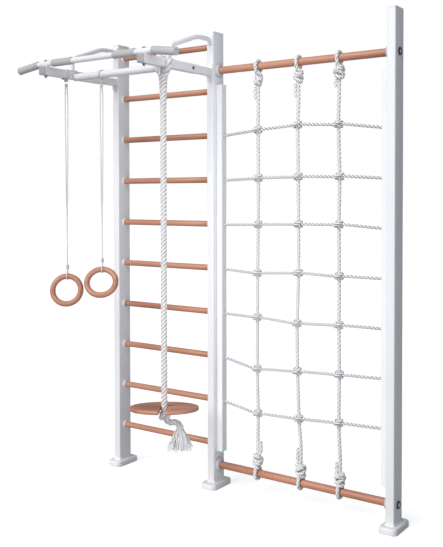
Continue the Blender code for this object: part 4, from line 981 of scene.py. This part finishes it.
for row, height in enumerate(ROW_HEIGHTS):
    start, end = ([Vector((x + way * inside, 0, height)) for inside in (-0.015, 0.006)]
                  for x, way in ((rail_wall, 1), (RIGHT_X - rail_wall, -1)))
    route = start
    for column in range(len(UPRIGHT_X)):
        centre = crossing(column, row)
        for degrees, rise, out_by in HITCH:
            angle, reach = radians(degrees), WRAP * out_by
            route.append(centre + Vector((reach * sin(angle), -reach * cos(angle),
                                          CROSS_ROPE * rise)))
    route = even(smooth_route(route + end[::-1], 4), ROPE_STEP)
    lay_rope(bm, route, CROSS_ROPE, CROSS_TURN, groove=0.44, shade=CROSS_SHADE)
net = show("climbing_net", bm, rope_finish, "white_rope")
print("net faces:", len(net.data.polygons))

# %% [markdown]
# ## Posts, feet and caps
# The posts are drawn steel tube with softly rounded corners. On the ladder's side each rung has a
# short welded collar. A round outline spun about the rung's own line gives the collar its fillet.

# %% Posts
POSTS = {"left": (LEFT_X, 1), "middle": (0.0, -1), "right": (RIGHT_X, 0)}  # place, ladder's side
POST_DEPTH = 0.09
POST_CORNER = 0.005
POST_BOTTOM = 0.0063
TOTAL_HEIGHT = 2.267
CAP_HEIGHT = 0.01
POST_TOP = TOTAL_HEIGHT - CAP_HEIGHT - FIT
RUNG_HEIGHTS = [0.217 + 0.22 * i for i in range(10)]
COLLAR = [  # a rung's collar: radius and height above the post's face
    (0.0153, -0.001), (0.02, -0.001), (0.02, 0.0005), (0.0188, 0.0022), (0.0184, 0.008),
    (0.0178, 0.0094), (0.0166, 0.01), (0.016, 0.01), (0.0153, 0.0093), (0.0153, -0.001),
]

for side, (x, ladder_side) in POSTS.items():
    bm = bmesh.new()
    block(bm, (POST_WIDTH, POST_DEPTH, POST_TOP - POST_BOTTOM), (x, 0, (POST_TOP + POST_BOTTOM) / 2),
          POST_CORNER, 2)
    if ladder_side:
        for height in RUNG_HEIGHTS:
            lathe(bm, COLLAR, (x + ladder_side * POST_WIDTH / 2, 0, height), (ladder_side, 0, 0))
    show("post_" + side, bm, coat, "white_steel")

# %% [markdown]
# The feet are moulded boots, rounder in front than at the wall. A plain box gets a wide bevel on
# its front corners, a small one at the back, and a soft top edge, and a short collar rises round
# the post.

# %% Feet
FOOT_WIDTH = 0.084
FOOT_FRONT = 0.079
FOOT_BACK = 0.076
FOOT_RIM = 0.03
FRONT_CORNER = 0.026
BACK_CORNER = 0.011
FOOT_TOP_EDGE = 0.008
FOOT_LOW_EDGE = 0.0012
BOOT = (POST_WIDTH + 0.0086, POST_DEPTH + 0.0086, 0.03)  # the collar round the post
BOOT_TOP = 0.038
BOOT_CORNER = 0.0093
BOOT_EDGE = 0.0018

for side, (x, _) in POSTS.items():
    bm = bmesh.new()
    edges = plain_box(bm, (FOOT_WIDTH, FOOT_FRONT + FOOT_BACK, FOOT_RIM),
                      (x, (FOOT_BACK - FOOT_FRONT) / 2, FOOT_RIM / 2))
    upright = runs_along(edges, 2, FOOT_RIM)
    rear = [e for e in upright if e.verts[0].co.y > 0]
    bevel(bm, [e for e in upright if e not in rear], FRONT_CORNER, 10)
    bevel(bm, rear, BACK_CORNER, 6)
    top = [f for f in bm.faces if f.normal.z > 0.99]
    bevel(bm, list({e for f in top for e in f.edges}), FOOT_TOP_EDGE, 5)
    low = [e for e in bm.edges if all(v.co.z < 1e-5 for v in e.verts) and len(e.link_faces) == 2
           and any(abs(f.normal.z) < 0.5 for f in e.link_faces)]
    bevel(bm, low, FOOT_LOW_EDGE, 2)
    block(bm, BOOT, (x, 0, BOOT_TOP - BOOT[2] / 2), BOOT_CORNER, 2, BOOT_EDGE)
    show("foot_" + side, bm, moulded, "white_foot")

# %% [markdown]
# ## Turned wood
# Rungs and net bars are straight beech dowels. They run into their sockets and cups, so only the
# round face shows. The grain noise differs along the height, so no two rungs look alike.

# %% Rungs and net bars
RUNG_DIAMETER = 0.03
RUNG_SEAT = 0.012  # how far a rung goes into each post
BAR_EDGE = 0.001


def round_bar(name, diameter, half, place, steps, finish, slot):
    """A straight round bar along X, with eased ends, about its middle."""
    turned(name, eased(diameter / 2, -half, half, BAR_EDGE, 2), place, ALONG_X, steps, finish, slot)


rung_half = (-LEFT_X - POST_WIDTH) / 2 + RUNG_SEAT
for number, height in enumerate(RUNG_HEIGHTS, start=1):
    round_bar(f"rung_{number:02d}", RUNG_DIAMETER, rung_half, (LEFT_X / 2, 0, height), 48,
              bar_beech, "beech")

bar_half = (RIGHT_X - POST_WIDTH) / 2 - FIT
BAR_LEVELS = {"top": TOP_BAR, "bottom": BOTTOM_BAR}
for level, height in BAR_LEVELS.items():
    round_bar("net_bar_" + level, BAR_DIAMETER, bar_half, (RIGHT_X / 2, 0, height), 56,
              bar_beech, "beech")

# %% [markdown]
# ## Cups and bolts
# White cups cover the joints between the net bars and the posts. Their finish is a mid grey, which
# paints in the shade round their steep dished sides. On the posts' outer faces each bolt ends in a
# round black collar, with the bolt's zinc-plated head in the middle of it.

# %% Flanges and bolt caps
cup = [(0.0183, FIT), (0.0355, FIT), (0.036, 0.001), (0.036, 0.0036), (0.0352, 0.0044)]
cup += bow((0.0335, 0.0046), (0.0225, 0.0156), 0.16)
cup += [(0.0205, 0.016), (0.019, 0.0156), (0.0183, 0.0146), (0.0183, FIT)]
cap = [(0, FIT), (0.0172, FIT), (0.018, 0.0012), (0.0178, 0.0034)]
cap += bow((0.0172, 0.0042), (0.0132, 0.006), 0.15, 4)
cap += [(0.0112, 0.0056), (0.0096, 0.0036), (0.008, 0.0032), (0, 0.0034)]
head = [(0, 0.003), (0.0086, 0.003), (0.0088, 0.0042), (0.0078, 0.0054), (0.0052, 0.0064),
        (0.0024, 0.0069), (0, 0.007)]
for side, face, outward in (("middle", POST_WIDTH / 2, 1), ("right", RIGHT_X - POST_WIDTH / 2, -1)):
    for level, height in BAR_LEVELS.items():
        end = f"{side}_{level}"
        far_face = (face - outward * POST_WIDTH, 0, height)
        turned("flange_" + end, cup, (face, 0, height), (outward, 0, 0), 56, cup_white_painted_shade, "white_plastic")
        turned("bar_bolt_" + end, cap, far_face, (-outward, 0, 0), 40, black_finish, "black_plastic")
        turned("bar_bolt_head_" + end, head, far_face, (-outward, 0, 0), 32, zinc_finish, "dark_steel",
               extra=True)

# %% [markdown]
# ## The overhead frame
# Braces and the pull-up bar are round tube, bent cold, so their corners are wide arcs. The square
# arms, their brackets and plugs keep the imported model's shape and only take a finish.

# %% Braces and crossbar
ARMS = {"left": (LEFT_X, -1), "right": (0.0, 1)}  # place, way out
ARM_TOP = ARM_HEIGHT + ARM_SIZE / 2
BRACE_DIAMETER = 0.022
BRACE_BEND = 0.032
BRACE_HEIGHT = 2.226
BRACE_START = -0.0473  # the middle of the brace's plate on the post
BRACE_TURNS = ((-0.15, BRACE_HEIGHT), (-0.362, 2.15))
PLATE = (0.032, 0.05, 0.004)  # width, length and thickness of a brace's end plates
PLATE_CORNER = 0.005

for side, (x, _) in ARMS.items():
    start = (x, BRACE_START, BRACE_HEIGHT)
    corners = [start, *((x, *turn) for turn in BRACE_TURNS), (x, -CROSSBAR_Y, ARM_TOP + 0.002)]
    bm = bmesh.new()
    sweep(bm, bent_route(corners, BRACE_BEND, 10), BRACE_DIAMETER, resolution=8)
    block(bm, (PLATE[0], PLATE[2], PLATE[1]), start, PLATE_CORNER, 1)
    block(bm, PLATE, (x, -CROSSBAR_Y, ARM_TOP + 0.0023), PLATE_CORNER, 2)
    show("brace_" + side, bm, coat, "white_steel")

round_bar("crossbar", CROSSBAR_DIAMETER, -LEFT_X / 2 - ARM_SIZE / 2 - FIT,
          (LEFT_X / 2, -CROSSBAR_Y, CROSSBAR_HEIGHT), 48, coat, "white_steel")

# %% Pull-up bar
PULL_UP_Y = -0.543
PULL_UP_DIAMETER = 0.028
PULL_UP_HEIGHT = ARM_TOP + FIT + PULL_UP_DIAMETER / 2
BEND_START = 0.042
OUTER_LENGTH = 0.134
DROOP = radians(8)


def on_end(x, outward, length):
    """A place on the drooping end of the pull-up bar, a length past its bend."""
    return Vector((x + outward * (BEND_START + length * cos(DROOP)), PULL_UP_Y,
                   PULL_UP_HEIGHT - length * sin(DROOP)))


corners = [on_end(LEFT_X, -1, OUTER_LENGTH), on_end(LEFT_X, -1, 0), on_end(0, 1, 0),
           on_end(0, 1, OUTER_LENGTH)]
bm = bmesh.new()
sweep(bm, bent_route(corners, 0.02, 6), PULL_UP_DIAMETER, resolution=10)
show("pull_up_bar", bm, coat, "white_steel")

# %% Grips
BORE = PULL_UP_DIAMETER / 2 + FIT
GRIP = 0.018  # radius
GRIP_LENGTH = 0.13
GRIP_START = 0.008  # of an outer grip, past the bend
INNER_GRIP = 0.05  # of an inner grip, from the arm

mouth = [(BORE, 0.0008), (BORE + 0.0008, 0), (GRIP - 0.0016, 0), (GRIP - 0.0004, 0.0007), (GRIP, 0.002)]
open_grip = mirrored(mouth, GRIP_LENGTH) + mouth[:1]
closed_grip = [(0, OUTER_LENGTH - 0.0016), (BORE, OUTER_LENGTH - 0.0016)] + mouth
closed_grip += [(r, OUTER_LENGTH - back) for r, back in (
    (GRIP, 0.004), (GRIP + 0.001, 0.003), (GRIP + 0.001, 0.0005), (GRIP - 0.001, 0),
    (0.01, 0), (0.0094, 0.001), (0, 0.001))]
for side, (x, outward) in ARMS.items():
    turned("grip_inner_" + side, open_grip, (x - outward * INNER_GRIP, PULL_UP_Y, PULL_UP_HEIGHT),
           (-outward, 0, 0), 40, grip_finish, "grey_rubber")
    turned("grip_outer_" + side, closed_grip, on_end(x, outward, GRIP_START),
           (outward * cos(DROOP), 0, -sin(DROOP)), 40, grip_finish, "grey_rubber")

# %% [markdown]
# ## Small bolts
# Set bolts hold the arms on their brackets, and long bolts clamp the pull-up bar. Their heads are
# domed, with a round recess for the key.

# %% Bolt heads
SET_BOLT_Y = -0.208

dome = [(0, FIT), (0.008, FIT), (0.008, 0.0016)]
dome += bow((0.0079, 0.0018), (0.0046, 0.0048), 0.14, 5)
dome += [(0.0036, 0.005), (0.003, 0.0044), (0.003, 0.0024), (0, 0.0024)]
nut = [(0, -FIT), (0.008, -FIT), (0.008, -0.007), (0.0074, -0.008), (0.004, -0.008),
       (0.004, -0.0125), (0.0034, -0.0131), (0, -0.0131)]
for side, (x, outward) in ARMS.items():
    turned("set_bolt_" + side, dome, (x + outward * ARM_SIZE / 2, SET_BOLT_Y, ARM_HEIGHT),
           (outward, 0, 0), 32, steel_finish, "dark_steel")
    bm = bmesh.new()
    lathe(bm, dome, (x, PULL_UP_Y, PULL_UP_HEIGHT + PULL_UP_DIAMETER / 2), UP, 32)
    lathe(bm, nut, (x, PULL_UP_Y, ARM_UNDER), UP, 6)
    show("bar_clamp_bolt_" + side, bm, steel_finish, "dark_steel")

# %% [markdown]
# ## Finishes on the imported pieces
# Square tubes and caps already have their true shape, so they only need a material.

# %% Carried-over pieces
KEPT = {"cap": coat, "net_rail": rail_coat, "arm": coat, "arm_bracket": coat, "arm_plug": plug_finish}

for kind, finish in KEPT.items():
    for name in (f"{kind}_{side}" for side in POSTS):
        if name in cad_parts:
            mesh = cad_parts[name].data
            mesh.materials.clear()
            mesh.materials.append(finish)
            print("kept:", name)

# %% [markdown]
# ## The floor
# A wide pale floor takes a soft shadow and fades into the sky. A white floor would throw so much
# light back that no face of the frame stayed in shade. So the floor is grey to the light that
# bounces, and a glow that only the camera sees lifts it to the white of a studio sweep.

# %% Floor
FLOOR_GREY = (0.55, 0.55, 0.55)
FLOOR_GLOW = 0.7
FLOOR_SIZE = 120

bm = bmesh.new()
bmesh.ops.create_grid(bm, x_segments=2, y_segments=2, size=FLOOR_SIZE)
floor = placed("floor", mesh_of(bm, "floor"))
floor_finish, floor_shader = finish_of("pale_floor", FLOOR_GREY, 0.95, Specular_IOR_Level=0.0,
                                       Emission_Color=(1, 1, 1, 1))
camera_ray = node(floor_shader, "LightPath").outputs["Is Camera Ray"]
fill(floor_shader, Emission_Strength=maths("MULTIPLY", camera_ray, FLOOR_GLOW))
floor.data.materials.append(floor_finish)
